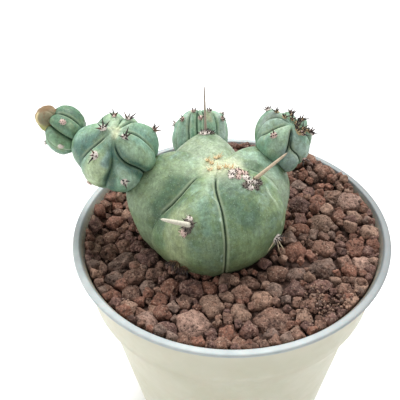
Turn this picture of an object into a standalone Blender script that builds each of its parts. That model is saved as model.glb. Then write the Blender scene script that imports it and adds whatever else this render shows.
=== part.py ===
"""Potted blue myrtle cactus: a squat five-ribbed stem with four young heads, in lava grit, in a nursery pot.

The pot stands on the XY plane with its axis on Z. Plant positions are measured from the middle of the
pot's rim, so that they read as heights above or below it. -Y is the front.
"""
import math
import random

import bpy
import bmesh
import numpy as np
from mathutils import Euler, Matrix, Vector

MM = 0.001
GAP = 0.3 * MM

# Pot: outside radius of the lip, height, and the two tapering stretches of its wall
RIM_RADIUS = 52.5 * MM
POT_HEIGHT = 92.0 * MM
WALL = 1.3 * MM
LIP_WIDTH = 2.3 * MM
LIP_HEIGHT = 1.3 * MM
COLLAR_HEIGHT = 19.0 * MM
COLLAR_TOP_RADIUS = RIM_RADIUS - 1.9 * MM
COLLAR_FOOT_RADIUS = COLLAR_TOP_RADIUS - 1.8 * MM
COLLAR_STEP = 2.3 * MM
WALL_TAPER = 0.136
FLOOR_RADIUS = 36.4 * MM
FLOOR_TOP = 3.0 * MM
FOOT_RECESS = 1.5 * MM
SLOT_COUNT = 8
SLOT_WIDTH = 3.6 * MM
SLOT_LENGTH = 8.0 * MM
SLOT_RADIUS = 24.0 * MM
POT_SIDES = 40

# Lava grit: depth of the packed bed below the rim, and the level of the stones' tops, which rises to the
# right and the back. A bank of it lies against the rim at the back right, and another round the stem,
# at whose foot the bed's top bends.
BED_DEPTH = 5.0 * MM
STONE_SINK = 1.0 * MM
STONE_TOPS = -1.3 * MM
RISE_RIGHT = 0.045
RISE_BACK = 0.020
RIM_BANK = 2.2
RIM_BANK_BEARING = math.radians(68)
RIM_BANK_START = 26
RIM_BANK_WIDTH = 16
STEM_BANK = 1.2
STEM_BANK_END = 34
STEM_BANK_WIDTH = 10
BED_BEND = 34 * MM
STONE_SWELL = 1.14
FILL_STONES = 98
FILL_TRIES = 20000
FILL_SEED = 23
STEM_CLEARANCE = 0.4 * MM

# Polar angles, from a head's tip to its foot, at which its ribs and furrows are given, the width of the
# slit along a furrow and the degrees over which it opens, and the reach of the swelling at an areole
ANGLES = (0, 25, 50, 70, 90, 115, 150, 180)
SLIT_WIDTH = 0.35 * MM
SLIT_FADE = 14
AREOLE_SPREAD = 9.0

# Where a head's mesh has its lines: across half a rib, from crest to furrow, and down from the tip
STEM_ACROSS = (0, 0.35, 0.65, 0.85, 0.95, 1)
STEM_ROWS = (8, 17, 26, 34, 42, 49, 56, 63, 70, 77, 84, 91, 98, 105, 112, 120, 132, 148, 164)
HEAD_ACROSS = (0, 0.4, 0.75, 1)
HEAD_ROWS = (11, 22, 32, 42, 52, 62, 73, 85, 98, 112, 128, 150)
SMALL_ACROSS = (0, 0.6, 1)
SMALL_ROWS = (14, 28, 42, 56, 70, 85, 100, 116, 135, 155)
BUD_ACROSS = (0, 1)
BUD_ROWS = (22, 44, 66, 88, 110, 135, 160)

# Spines: how deep a short one's root sits, how far it leans from the skin's normal, how much longer the
# first of an areole's three is, and the stem's long central ones as (rib, polar angle, direction, length
# and radius in millimetres)
SPINE_ROOT = 1.0 * MM
SPINE_LEAN = 52
FIRST_SPINE = 1.3
LONG_SPINE_ROOT = 1.5 * MM
LONG_SPINES = (
    (0, 50, (0.0, 0.45, 0.89), 16.0, 0.50), (2, 62, (-0.58, -0.50, 0.64), 14.0, 0.75),
    (3, 34, (0.64, -0.12, 0.75), 14.5, 0.60))

# Stones that stand out, from the front left round to the back right:
# x, y, length and depth in millimetres, turn in degrees, kind
NOTABLE_STONES = (
    (-45, 17, 7.5, 5.0, 0, "brown"), (-47, 10, 8.5, 6.0, 0, "rust"), (-40, 8, 6.0, 5.0, 0, "rust"),
    (-36, 12, 4.0, 5.0, 0, "tan"), (-41, 1, 8.0, 4.4, 20, "brown"), (-46, -5, 4.0, 7.0, 0, "tan"),
    (-41, -6, 7.6, 6.0, 25, "brown"), (-36, -4, 5.2, 4.6, 0, "brown"), (-36, -11, 11.5, 6.2, 38, "grey"),
    (-31, -5, 5.0, 4.6, 0, "plum"), (-27, -11, 6.0, 5.0, -20, "plum"), (-44, -13, 6.0, 6.0, 0, "pink"),
    (-38, -18, 6.0, 5.0, 0, "grey"), (-41, -22, 5.0, 4.4, 0, "brown"), (-38, -25, 6.4, 4.8, 0, "rust"),
    (-31, -18, 7.6, 5.2, 25, "brown"), (-32, -24, 6.6, 5.6, 0, "brown"), (-25, -18, 6.4, 5.0, 0, "brown"),
    (-27, -22, 3.8, 5.6, 0, "grey"), (-20, -24, 5.6, 6.0, 0, "rust"), (-13, -25, 7.4, 6.2, 0, "plum"),
    (-8, -25, 6.2, 4.8, -25, "rust"), (-33, -31, 7.6, 5.6, 12, "tan"), (-27, -36, 6.8, 7.0, 0, "pink"),
    (-22, -33, 5.4, 5.0, 0, "rust"), (-21, -39, 7.0, 5.2, 0, "plum"), (-13, -38, 9.4, 12.0, 20, "pink"),
    (-7, -31, 7.8, 7.4, 35, "tan"), (-3, -42, 6.2, 6.0, 0, "rust"), (1, -35, 5.2, 6.6, 10, "tan"),
    (-3, -29, 4.8, 3.8, 0, "tan"), (2, -27, 5.0, 5.6, 0, "brown"), (4, -24, 6.6, 5.2, 0, "brown"),
    (3, -41, 4.6, 6.0, 15, "plum"), (10, -38, 10.4, 10.0, 0, "brown"), (8, -30, 6.6, 6.8, 0, "tan"),
    (12, -27, 5.6, 4.6, 0, "grey"), (13, -21, 6.8, 5.8, 0, "brown"), (20, -12, 7.0, 7.2, 0, "rust"),
    (20, -21, 6.8, 4.8, 0, "grey"), (28, -19, 10.6, 7.2, 0, "grey"), (26, -27, 7.8, 4.8, 0, "plum"),
    (36, -21, 4.0, 5.8, 0, "rust"), (30, -10, 8.4, 7.0, 0, "brown"), (40, -11, 7.8, 6.0, -40, "rust"),
    (41, -19, 8.0, 7.6, 0, "pink"), (46, -5, 6.6, 4.4, -20, "tan"), (33, -29, 6.6, 5.2, 0, "brown"),
    (32, 36, 6.8, 5.6, 0, "tan"), (37, 29, 8.8, 6.4, 0, "brown"), (27, 21, 6.0, 6.2, 0, "grey"),
    (38, 15, 8.4, 5.4, 0, "tan"), (43, 11, 10.4, 8.4, -35, "pink"), (32, 12, 5.8, 5.4, 0, "rust"),
    (25, 10, 8.0, 7.2, 0, "plum"), (32, 2, 8.8, 8.4, 0, "olive"), (43, 3, 4.8, 5.0, 0, "tan"),
    (24, -2, 6.4, 5.8, 0, "rust"))


def mm(*values):
    """Millimetres to metres."""
    return tuple(value * MM for value in values)


def smooth_step(t):
    t = np.clip(t, 0, 1)
    return t * t * (3 - 2 * t)


def smooth_curve(values, angle):
    """Smooth curve through one value at each of ANGLES, level at both ends."""
    knots = np.array(ANGLES, float)
    values = np.array(values, float)
    slopes = np.gradient(values, knots)
    slopes[0] = slopes[-1] = 0
    i = np.clip(np.searchsorted(knots, angle, side="right") - 1, 0, len(knots) - 2)
    width = knots[i + 1] - knots[i]
    s = (angle - knots[i]) / width
    start = (1 + 2 * s) * (1 - s) ** 2 * values[i] + s * (1 - s) ** 2 * width * slopes[i]
    end = s * s * (3 - 2 * s) * values[i + 1] + s * s * (s - 1) * width * slopes[i + 1]
    return start + end


class Head:
    """A ribbed head. Its surface is a radius from one centre, by polar angle from the tip and rib line.

    A rib line is a number u: whole numbers are the crests of the ribs and halves are the furrows.
    A rib is (azimuths, radii, fullness before it, fullness after it) and the furrow after it is
    (azimuths, radii, slit depth, slit's first polar angle, its last one). Azimuths and radii are
    given at each of ANGLES, and an azimuth that stays the same is one number.
    Areoles are (rib line, polar angle, size of the wool pad, swelling under it).
    """

    def __init__(self, centre, axis, ribs, furrows, areoles):
        self.centre = np.array(centre)
        tip = Vector(axis).normalized()
        side = Vector((1, 0, 0))
        side = (side - tip * side.dot(tip)).normalized()
        self.turn = np.array((side, tip.cross(side), tip)).T
        self.ribs = ribs
        self.furrows = furrows
        self.areoles = areoles

    def _line_azimuth(self, line, angle):
        return smooth_curve(np.broadcast_to(line[0], len(ANGLES)), angle)

    def _pick(self, u):
        """The crest and the furrow that rib line u lies between, and how far from the crest it is."""
        count = len(self.ribs)
        crest = np.floor(u + 0.5).astype(int)
        after = u >= crest
        furrow = np.where(after, crest, crest - 1)
        return crest % count, furrow % count, np.abs(u - crest) * 2, after

    def _turn_to_furrow(self, u, angle):
        """Azimuth of the crest beside rib line u, and the turn from it to the furrow."""
        crest, furrow, _, after = self._pick(u)
        pick = tuple(np.indices(u.shape))
        crests = np.array([self._line_azimuth(rib, angle) for rib in self.ribs])
        furrows = np.array([self._line_azimuth(line, angle) for line in self.furrows])
        start = crests[(crest,) + pick]
        span = furrows[(furrow,) + pick] - start
        return start, np.where(after, span % 360, -(-span % 360))

    def azimuth(self, u, angle):
        start, span = self._turn_to_furrow(u, angle)
        return start + span * self._pick(u)[2]

    def folds(self, u, angle):
        """Radius without slits and swellings, depth below the crest, and way along the skin to the furrow."""
        crest, furrow, away, after = self._pick(u)
        pick = tuple(np.indices(u.shape))
        high = np.array([smooth_curve(rib[1], angle) for rib in self.ribs])[(crest,) + pick]
        low = np.array([smooth_curve(line[1], angle) for line in self.furrows])[(furrow,) + pick]
        fullness = np.array([rib[2:4] for rib in self.ribs])[crest, after.astype(int)]
        radius = high + (low - high) * away ** fullness
        span = np.radians(np.abs(self._turn_to_furrow(u, angle)[1]))
        return radius, high - radius, span * (1 - away) * radius * np.sin(np.radians(angle))

    def slit(self, u, angle, gap):
        """Depth of the crack along the bottom of the nearest furrow, a way gap along the skin from it."""
        furrow = self._pick(u)[1]
        depth, first, last = np.array([line[2:5] for line in self.furrows])[furrow].reshape(-1, 3).T
        depth, first, last = (part.reshape(u.shape) for part in (depth, first, last))
        open_part = smooth_step((angle - first) / SLIT_FADE) * smooth_step((last - angle) / SLIT_FADE)
        return depth * MM * open_part * np.exp(-gap / SLIT_WIDTH)

    def radius(self, u, angle):
        radius, _, gap = self.folds(u, angle)
        radius = radius - self.slit(u, angle, gap)
        azimuth = self.azimuth(u, angle)
        for rib, polar, _, swelling in self.areoles:
            spot = self.azimuth(np.array([float(rib)]), np.array([float(polar)]))[0]
            across = ((azimuth - spot + 180) % 360 - 180) * np.sin(np.radians(angle))
            radius = radius + swelling * np.exp(-((angle - polar) ** 2 + across ** 2) / AREOLE_SPREAD ** 2)
        return radius

    def points(self, u, angle, extra=0.0):
        """Surface points at rib lines u and polar angles, pushed out by extra."""
        u, angle = np.broadcast_arrays(np.asarray(u, float), np.asarray(angle, float))
        radius = self.radius(u, angle) + extra
        polar, azimuth = np.radians(angle), np.radians(self.azimuth(u, angle))
        flat = radius * np.sin(polar)
        local = np.stack((flat * np.cos(azimuth), flat * np.sin(azimuth), radius * np.cos(polar)), -1)
        return self.centre + local @ self.turn.T

    def seat(self, u, angle):
        """Place on the surface at one point: origin there, Z along its normal, Y towards the tip."""
        step = 1.5
        around = np.array((u - 0.03, u + 0.03, u, u))
        along = np.array((angle, angle, angle - step, angle + step), float)
        left, right, above, below = self.points(around, along)
        normal = Vector(np.cross(below - above, right - left)).normalized()
        upward = Vector(above - below)
        upward = (upward - normal * upward.dot(normal)).normalized()
        place = Matrix((upward.cross(normal), upward, normal)).transposed().to_4x4()
        place.translation = Vector(self.points(np.array([float(u)]), np.array([float(angle)]))[0])
        return place


def rim_point(x, y, z):
    """Millimetres from the middle of the rim, as a point in metres."""
    return (x * MM, y * MM, z * MM + POT_HEIGHT)


def main_stem_shape():
    """The five-ribbed mother stem. Ribs: rear, left, front left, front right, right."""
    ribs = (
        (101, mm(18.3, 20.6, 27.3, 28.8, 27.5, 24.0, 17.5, 24), 1.4, 1.3),
        ((142, 142, 158, 173, 186, 190, 190, 190),
         mm(18.3, 20.6, 26.7, 31.0, 28.7, 26.2, 17.5, 24), 1.4, 1.4),
        (-117, mm(18.3, 20.2, 23.6, 25.0, 24.8, 23.3, 17.5, 24), 1.6, 2.6),
        (-36, mm(18.3, 20.2, 22.8, 23.3, 21.9, 20.6, 17.5, 24), 2.4, 1.5),
        ((42, 42, 32, 18, 10, 8, 8, 8), mm(18.3, 21.3, 25.6, 24.9, 21.9, 22.0, 17.5, 24), 1.4, 1.4))
    furrows = (
        (137, mm(18.3, 19.4, 23.6, 25.5, 24.6, 23.0, 17.5, 24), 0.2, 20, 110),
        ((210, 211, 215, 209, 205, 202, 202, 202),
         mm(18.3, 19.0, 20.9, 22.9, 24.8, 24.9, 17.5, 24), 0.7, 24, 72),
        ((248, 256, 268, 271, 271, 270, 270, 270),
         mm(18.3, 19.2, 21.3, 22.6, 22.7, 21.9, 17.5, 24), 0.9, 16, 122),
        ((-8, -8, -8, -12, -14, -14, -14, -14),
         mm(18.3, 19.3, 20.9, 21.0, 20.4, 20.4, 17.5, 24), 0.1, 20, 110),
        (66, mm(18.3, 18.5, 19.5, 20.6, 21.5, 22.0, 17.5, 24), 0.2, 20, 110))
    areoles = (
        (0, 50, 1.6 * MM, 0.5 * MM), (0, 98, 1.2 * MM, 0.3 * MM), (2, 62, 1.7 * MM, 0.5 * MM),
        (2, 108, 1.1 * MM, 0.2 * MM), (3, 21, 1.2 * MM, 0.3 * MM), (3, 34, 1.9 * MM, 0.5 * MM),
        (2.97, 88, 1.5 * MM, 0.4 * MM), (4, 100, 1.3 * MM, 0.3 * MM), (1, 12, 0.7 * MM, 0.2 * MM),
        (4, 14, 0.7 * MM, 0.2 * MM))
    return Head(rim_point(-3, 0, 6), (0, 0, 1), ribs, furrows, areoles)


def left_offset_shape():
    """The seven-ribbed head at the upper end of the left rib.

    Ribs: front right, right, rear right, rear, left, front left, front.
    """
    ribs = (
        ((-30, -24, -15, -17, -20, -22, -22, -22),
         mm(11.9, 12.6, 13.2, 13.4, 13.2, 12.8, 11.6, 11.2), 3.4, 2.6),
        ((42, 40, 28, 18, 15, 14, 14, 14), mm(11.9, 12.4, 13.7, 14.2, 13.9, 13.0, 11.6, 11.2), 1.7, 1.5),
        (57, mm(11.9, 12.4, 12.6, 12.2, 12.0, 12.0, 11.6, 11.2), 1.8, 1.6),
        (93, mm(11.9, 12.6, 12.9, 12.4, 12.0, 12.0, 11.6, 11.2), 1.8, 1.8),
        ((158, 158, 166, 172, 177, 178, 178, 178),
         mm(11.9, 12.4, 13.4, 14.2, 14.0, 13.0, 11.6, 11.2), 1.8, 1.4),
        (230, mm(11.9, 12.4, 13.1, 13.1, 12.8, 12.2, 11.6, 11.2), 2.8, 3.0),
        ((264, 269, 277, 283, 286, 288, 288, 288),
         mm(11.9, 10.9, 11.0, 12.9, 13.3, 12.9, 11.6, 11.2), 1.5, 2.0))
    furrows = (
        ((10, 6, -6, -9, -12, -13, -13, -13),
         mm(11.9, 11.9, 12.1, 12.2, 12.0, 11.9, 11.5, 11.2), 0.5, 10, 115),
        (46, mm(11.9, 11.6, 11.6, 11.2, 11.2, 11.5, 11.5, 11.2), 0.4, 12, 110),
        (72, mm(11.9, 11.4, 10.9, 10.7, 10.9, 11.4, 11.5, 11.2), 0.3, 12, 110),
        ((125, 125, 130, 134, 136, 136, 136, 136),
         mm(11.9, 11.3, 10.7, 10.6, 10.9, 11.4, 11.5, 11.2), 0.3, 12, 110),
        ((204, 211, 209, 207, 205, 205, 205, 205),
         mm(11.9, 11.6, 11.7, 11.9, 11.9, 11.9, 11.5, 11.2), 0.5, 10, 70),
        ((258, 263, 265, 260, 256, 254, 254, 254),
         mm(11.9, 10.9, 10.1, 10.3, 11.1, 11.6, 11.5, 11.2), 0.1, 30, 110),
        ((270, 277, 295, 313, 322, 326, 326, 326),
         mm(11.9, 10.6, 9.7, 10.2, 11.3, 11.8, 11.5, 11.2), 0.3, 14, 110))
    areoles = (
        (0, 16, 0.9 * MM, 0.4 * MM), (1, 62, 0.9 * MM, 0.4 * MM), (2, 34, 1.0 * MM, 0.4 * MM),
        (3, 30, 0.9 * MM, 0.4 * MM), (4, 17, 1.1 * MM, 0.5 * MM), (5, 42, 1.2 * MM, 0.5 * MM),
        (6, 73, 1.1 * MM, 0.4 * MM), (3, 88, 0.9 * MM, 0.3 * MM), (5, 100, 0.9 * MM, 0.3 * MM))
    return Head(rim_point(-36, 8, 25), (0.10, -0.42, 0.90), ribs, furrows, areoles)


def far_left_offset_shape():
    """The small head on the outer side of the left one, with a deep crease between its two front lobes."""
    upper = mm(5.8, 7.0, 8.3, 8.4, 8.0, 7.2, 6.0, 5.4)
    lower = mm(5.8, 6.4, 7.2, 7.7, 7.8, 7.8, 6.6, 5.4)
    outer = mm(5.8, 6.0, 6.7, 7.3, 7.6, 7.6, 6.6, 5.4)
    shallow = mm(5.8, 6.4, 7.2, 7.3, 7.1, 6.8, 6.0, 5.4)
    deep = mm(5.8, 5.8, 5.6, 5.5, 5.6, 5.8, 5.7, 5.4)
    ribs = ((-160, outer, 1.7, 1.7), (-107, lower, 1.6, 2.4), (-56, upper, 2.4, 1.8), (5, upper, 1.7, 1.7),
            (65, upper, 1.7, 1.7), (130, outer, 1.7, 1.7))
    furrows = ((-125, shallow, 0.3, 40, 120), (-84, deep, 0.2, 20, 150), (-33, shallow, 0.3, 40, 120),
               (35, shallow, 0.2, 20, 110), (98, deep, 0.2, 20, 110), (166, shallow, 0.2, 20, 110))
    areoles = (
        (0, 62, 0.7 * MM, 0.3 * MM), (1, 98, 0.8 * MM, 0.3 * MM), (2, 76, 0.9 * MM, 0.3 * MM),
        (4, 60, 0.8 * MM, 0.3 * MM), (5, 66, 0.8 * MM, 0.3 * MM))
    return Head(rim_point(-52.3, 14.6, 29.7), (-0.81, 0.15, 0.57), ribs, furrows, areoles)


def far_left_bud_shape():
    """The tan growing tip of the far left head: a short upright barrel."""
    crest = mm(4.4, 4.6, 4.5, 4.0, 3.8, 4.0, 4.7, 4.9)
    furrow = mm(4.4, 4.3, 4.1, 3.6, 3.5, 3.7, 4.5, 4.9)
    ribs = tuple((azimuth, crest, 1.5, 1.5) for azimuth in range(0, 360, 45))
    furrows = tuple((azimuth + 22.5, furrow, 0.1, 20, 110) for azimuth in range(0, 360, 45))
    return Head(rim_point(-57.2, 15.6, 33.6), (-0.35, -0.20, 0.91), ribs, furrows, ())


def rear_offset_shape():
    """The barrel-shaped head behind the rear rib, leaning back so that its tip is out of sight in front."""
    crest = mm(9.6, 10.8, 11.9, 11.1, 10.5, 10.5, 10.2, 10.0)
    lean = mm(9.6, 10.4, 10.5, 10.3, 10.6, 10.6, 10.2, 10.0)
    furrow = mm(9.6, 9.9, 10.5, 9.9, 9.5, 9.7, 9.8, 10.0)
    hollow = mm(9.6, 9.7, 9.7, 9.5, 9.7, 9.9, 9.8, 10.0)
    crests = (-127, -105, -89, -66, -38, 12, 66, 122, 178)
    gaps = (-115, -97, -81, -52, -14, 39, 94, 150, 205)
    ribs = tuple((azimuth, lean if azimuth == 178 else crest, 1.5, 1.5) for azimuth in crests)
    furrows = tuple((azimuth, hollow if azimuth > 100 else furrow, 0.3, 20, 110) for azimuth in gaps)
    areoles = tuple((rib, 44 if rib % 2 else 60, 0.9 * MM, 0.3 * MM) for rib in range(9))
    return Head(rim_point(-8.8, 34.3, 12.6), (0.0, 0.62, 0.78), ribs, furrows, areoles)


def right_offset_shape():
    """The head at the upper end of the right rib, its tip crowded with spines.

    Ribs: front left, front, front right, right, rear right, rear, rear left, left.
    """
    ribs = (
        (-150, mm(8.9, 9.6, 10.1, 10.0, 9.7, 9.3, 8.6, 8.3), 2.6, 3.2),
        ((-97, -96, -90, -80, -78, -78, -78, -78), mm(8.9, 7.8, 7.3, 9.7, 10.3, 10.1, 8.8, 8.3), 2.0, 2.6),
        ((-45, -36, -38, -42, -44, -44, -44, -44), mm(8.9, 9.2, 9.5, 9.5, 9.3, 9.0, 8.6, 8.3), 3.2, 2.0),
        (-6, mm(8.9, 9.4, 9.7, 9.3, 8.9, 8.8, 8.6, 8.3), 1.8, 1.8),
        (38, mm(8.9, 9.6, 10.1, 9.6, 9.0, 8.8, 8.6, 8.3), 1.8, 1.8),
        (84, mm(8.9, 9.4, 9.6, 9.2, 8.8, 8.8, 8.6, 8.3), 1.8, 1.8),
        ((128, 128, 130, 130, 130, 130, 130, 130),
         mm(8.9, 10.0, 11.0, 11.0, 10.5, 9.6, 8.6, 8.3), 1.8, 2.0),
        ((146, 147, 158, 172, 178, 180, 180, 180), mm(8.9, 9.6, 9.9, 9.5, 9.0, 8.8, 8.5, 8.3), 1.2, 1.4))
    furrows = (
        ((-103, -98, -96, -101, -103, -103, -103, -103),
         mm(8.9, 7.7, 7.1, 8.1, 8.9, 9.0, 8.5, 8.3), 0.5, 6, 60),
        ((-92, -92, -84, -64, -60, -60, -60, -60), mm(8.9, 7.8, 7.3, 8.2, 8.7, 8.9, 8.5, 8.3), 0.5, 30, 90),
        (-18, mm(8.9, 8.7, 8.7, 8.5, 8.3, 8.4, 8.4, 8.3), 0.2, 10, 100),
        (16, mm(8.9, 8.6, 8.4, 8.1, 8.0, 8.3, 8.4, 8.3), 0.2, 10, 100),
        (60, mm(8.9, 8.4, 8.0, 7.9, 8.0, 8.3, 8.4, 8.3), 0.2, 10, 100),
        (106, mm(8.9, 8.5, 8.3, 8.1, 8.1, 8.3, 8.4, 8.3), 0.2, 10, 100),
        ((138, 139, 152, 166, 174, 176, 176, 176), mm(8.9, 8.9, 8.8, 8.8, 8.8, 8.7, 8.5, 8.3), 0.2, 10, 70),
        ((170, 183, 188, 185, 184, 184, 184, 184), mm(8.9, 8.3, 8.2, 8.6, 8.7, 8.6, 8.5, 8.3), 0.5, 10, 75))
    areoles = (
        (0, 42, 1.0 * MM, 0.4 * MM), (1.75, 80, 0.8 * MM, 0.2 * MM), (2, 24, 0.8 * MM, 0.3 * MM),
        (3, 44, 0.9 * MM, 0.3 * MM), (4, 20, 0.7 * MM, 0.3 * MM), (5, 36, 0.8 * MM, 0.3 * MM),
        (6, 58, 0.9 * MM, 0.3 * MM), (4, 88, 0.8 * MM, 0.3 * MM))
    return Head(rim_point(17.9, 12.5, 24.3), (0.22, -0.39, 0.89), ribs, furrows, areoles)


def material(name, colour, roughness):
    """A Principled material of one colour."""
    made = bpy.data.materials.new(name)
    made.use_nodes = True
    shader = made.node_tree.nodes["Principled BSDF"]
    shader.inputs["Base Color"].default_value = (*colour, 1)
    shader.inputs["Roughness"].default_value = roughness
    shader.inputs["Metallic"].default_value = 0
    return made


def add_object(name, mesh, collection=None):
    made = bpy.data.objects.new(name, mesh)
    (collection or bpy.context.scene.collection).objects.link(made)
    return made


def mesh_of(name, bm):
    """Close a bmesh into a mesh, with its faces turned outward."""
    bmesh.ops.recalc_face_normals(bm, faces=bm.faces)
    mesh = bpy.data.meshes.new(name)
    bm.to_mesh(mesh)
    bm.free()
    return mesh


def head_mesh(name, head, across, rows, extra=0.0):
    """Closed mesh of a head. across are the rib lines in half a rib, rows the polar angles used."""
    half = [part / 2 for part in across]
    lines = []
    for rib in range(len(head.ribs)):
        lines += [rib + part for part in half]
        lines += [rib + 1 - part for part in reversed(half[1:-1])]
    u, angle = np.meshgrid(np.array(lines), np.array(rows, float))
    grid = head.points(u, angle, extra)
    tip, foot = head.points(np.array([0.0, 0.0]), np.array([0.0, 180.0]), extra)
    bm = bmesh.new()
    rings = [[bm.verts.new(point) for point in row] for row in grid]
    top, bottom = bm.verts.new(tip), bm.verts.new(foot)
    count = len(lines)
    for i in range(count):
        j = (i + 1) % count
        bm.faces.new((top, rings[0][i], rings[0][j]))
        bm.faces.new((bottom, rings[-1][j], rings[-1][i]))
        for upper, lower in zip(rings, rings[1:]):
            bm.faces.new((upper[i], lower[i], lower[j], upper[j]))
    return mesh_of(name, bm)


def cone_mesh(sides, radius, length, root):
    """A thorn along +Z with its root sunk below the origin."""
    bm = bmesh.new()
    bmesh.ops.create_cone(bm, cap_ends=True, segments=sides, radius1=radius, radius2=0, depth=length + root)
    bmesh.ops.translate(bm, verts=bm.verts, vec=(0, 0, (length + root) / 2 - root))
    return mesh_of("thorn", bm)


def wool_mesh(radius):
    """A low six-sided dome, half sunk at the origin."""
    bm = bmesh.new()
    bmesh.ops.create_uvsphere(bm, u_segments=6, v_segments=3, radius=radius)
    bmesh.ops.scale(bm, verts=bm.verts, vec=(1, 1.15, 0.65))
    return mesh_of("wool", bm)


def add_repeat(collection, mesh, place):
    made = add_object("repeat", mesh, collection)
    made.matrix_world = place


def pointing(place, direction):
    """The place moved to point along a world direction."""
    turn = Vector(direction).to_track_quat("Z", "Y").to_matrix().to_4x4()
    turn.translation = place.translation
    return turn


def dress_areoles(head, collection, spine_length, spine_radius):
    """A wool pad with three spines on each areole of a head."""
    for index, (rib, polar, pad, _) in enumerate(head.areoles):
        place = head.seat(rib, polar)
        add_repeat(collection, wool_mesh(pad), place)
        for k in range(3):
            lean = Euler((math.radians(-SPINE_LEAN), 0, math.radians(120 * k + 40 * (index % 3))), "ZXY")
            turned = place @ lean.to_matrix().to_4x4()
            length = spine_length * (1.0 if k else FIRST_SPINE)
            add_repeat(collection, cone_mesh(3, spine_radius, length, SPINE_ROOT), turned)


def join_repeats(target, collection):
    """One Boolean union of the collection's objects with the target, applied."""
    join = target.modifiers.new("join", "BOOLEAN")
    join.operation = "UNION"
    join.operand_type = "COLLECTION"
    join.collection = collection
    join.solver = "MANIFOLD"
    apply_modifiers(target)
    for repeat in list(collection.objects):
        bpy.data.objects.remove(repeat)
    bpy.data.collections.remove(collection)


def cut(target, cutter_mesh):
    """Cut one closed mesh out of the target, applied."""
    cutter = add_object("cutter", cutter_mesh)
    cutter.hide_render = True
    cutter.display_type = "WIRE"
    difference = target.modifiers.new("cut", "BOOLEAN")
    difference.operation = "DIFFERENCE"
    difference.object = cutter
    difference.solver = "MANIFOLD"
    apply_modifiers(target)
    bpy.data.objects.remove(cutter)


def apply_modifiers(target):
    graph = bpy.context.evaluated_depsgraph_get()
    graph.update()
    mesh = bpy.data.meshes.new_from_object(target.evaluated_get(graph))
    target.modifiers.clear()
    target.data = mesh


def keep_largest_piece(target):
    """Drop the loose scraps that a cut leaves, such as a spine's tip."""
    bm = bmesh.new()
    bm.from_mesh(target.data)
    left = set(bm.verts)
    groups = []
    while left:
        queue = [left.pop()]
        group = set(queue)
        while queue:
            for edge in queue.pop().link_edges:
                for vert in edge.verts:
                    if vert not in group:
                        group.add(vert)
                        left.discard(vert)
                        queue.append(vert)
        groups.append(group)
    groups.sort(key=len)
    scraps = [vert for group in groups[:-1] for vert in group]
    bmesh.ops.delete(bm, geom=scraps, context="VERTS")
    bm.to_mesh(target.data)
    bm.free()


def finish(target, finish_material, crease=35):
    target.data.materials.clear()
    target.data.materials.append(finish_material)
    target.data.shade_smooth()
    target.data.set_sharp_from_angle(angle=math.radians(crease))


def turned_mesh(name, profile, sides):
    """Solid of revolution about Z. The profile runs from the axis back to the axis."""
    bm = bmesh.new()
    rings = []
    for radius, height in profile:
        if radius == 0:
            rings.append([bm.verts.new((0, 0, height))])
        else:
            angles = [2 * math.pi * k / sides for k in range(sides)]
            rings.append([bm.verts.new((radius * math.cos(a), radius * math.sin(a), height)) for a in angles])
    for lower, upper in zip(rings, rings[1:]):
        for k in range(sides):
            j = (k + 1) % sides
            corners = [lower[k % len(lower)], lower[j % len(lower)], upper[j % len(upper)],
                       upper[k % len(upper)]]
            bm.faces.new(list(dict.fromkeys(corners)))
    return mesh_of(name, bm)


def wall_radius(height):
    """Outside radius of the pot's wall below the collar, at a height above the ground."""
    return FLOOR_RADIUS + WALL_TAPER * height


def inside_profile():
    """The pot's inner face, from under the lip down to the floor: (radius, height) pairs."""
    step = POT_HEIGHT - COLLAR_HEIGHT
    return ((COLLAR_TOP_RADIUS - WALL, POT_HEIGHT - LIP_HEIGHT - 0.8 * MM),
            (COLLAR_FOOT_RADIUS - WALL, step + 1.2 * MM),
            (wall_radius(step) - WALL, step - COLLAR_STEP + WALL),
            (wall_radius(FLOOR_TOP + 2 * MM) - WALL, FLOOR_TOP + 2 * MM),
            (wall_radius(FLOOR_TOP) - WALL - 1.6 * MM, FLOOR_TOP))


def build_pot():
    """The pot: flat foot, drained floor, tapering wall, wide collar and a narrow rolled lip."""
    step = POT_HEIGHT - COLLAR_HEIGHT
    ring_inner, ring_outer = 17 * MM, 31.5 * MM
    outside = [(0, 0), (ring_inner, 0), (ring_inner + FOOT_RECESS, FOOT_RECESS),
               (ring_outer - FOOT_RECESS, FOOT_RECESS), (ring_outer, 0), (FLOOR_RADIUS - 1.2 * MM, 0),
               (wall_radius(1.2 * MM), 1.2 * MM), (wall_radius(step - COLLAR_STEP), step - COLLAR_STEP),
               (COLLAR_FOOT_RADIUS, step), (COLLAR_TOP_RADIUS, POT_HEIGHT - LIP_HEIGHT - 0.6 * MM),
               (RIM_RADIUS - 0.3 * MM, POT_HEIGHT - LIP_HEIGHT), (RIM_RADIUS, POT_HEIGHT - 0.9 * MM),
               (RIM_RADIUS - 0.1 * MM, POT_HEIGHT - 0.4 * MM), (RIM_RADIUS - 0.5 * MM, POT_HEIGHT)]
    lip_inner = RIM_RADIUS - LIP_WIDTH
    inside = [(lip_inner + 0.5 * MM, POT_HEIGHT), (lip_inner, POT_HEIGHT - 0.5 * MM)]
    inside += list(inside_profile()) + [(0, FLOOR_TOP)]
    pot = add_object("pot", turned_mesh("pot", outside + inside, POT_SIDES))
    bm = bmesh.new()
    for k in range(SLOT_COUNT):
        turn = Matrix.Rotation(2 * math.pi * (k + 0.5) / SLOT_COUNT, 4, "Z")
        size = Matrix.Diagonal((SLOT_LENGTH, SLOT_WIDTH, 4 * FLOOR_TOP, 1))
        bmesh.ops.create_cube(bm, size=1, matrix=turn @ Matrix.Translation((SLOT_RADIUS, 0, 0)) @ size)
    cut(pot, mesh_of("slots", bm))
    finish(pot, material("pot_plastic", (0.62, 0.60, 0.50), 0.45), 28)


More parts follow.
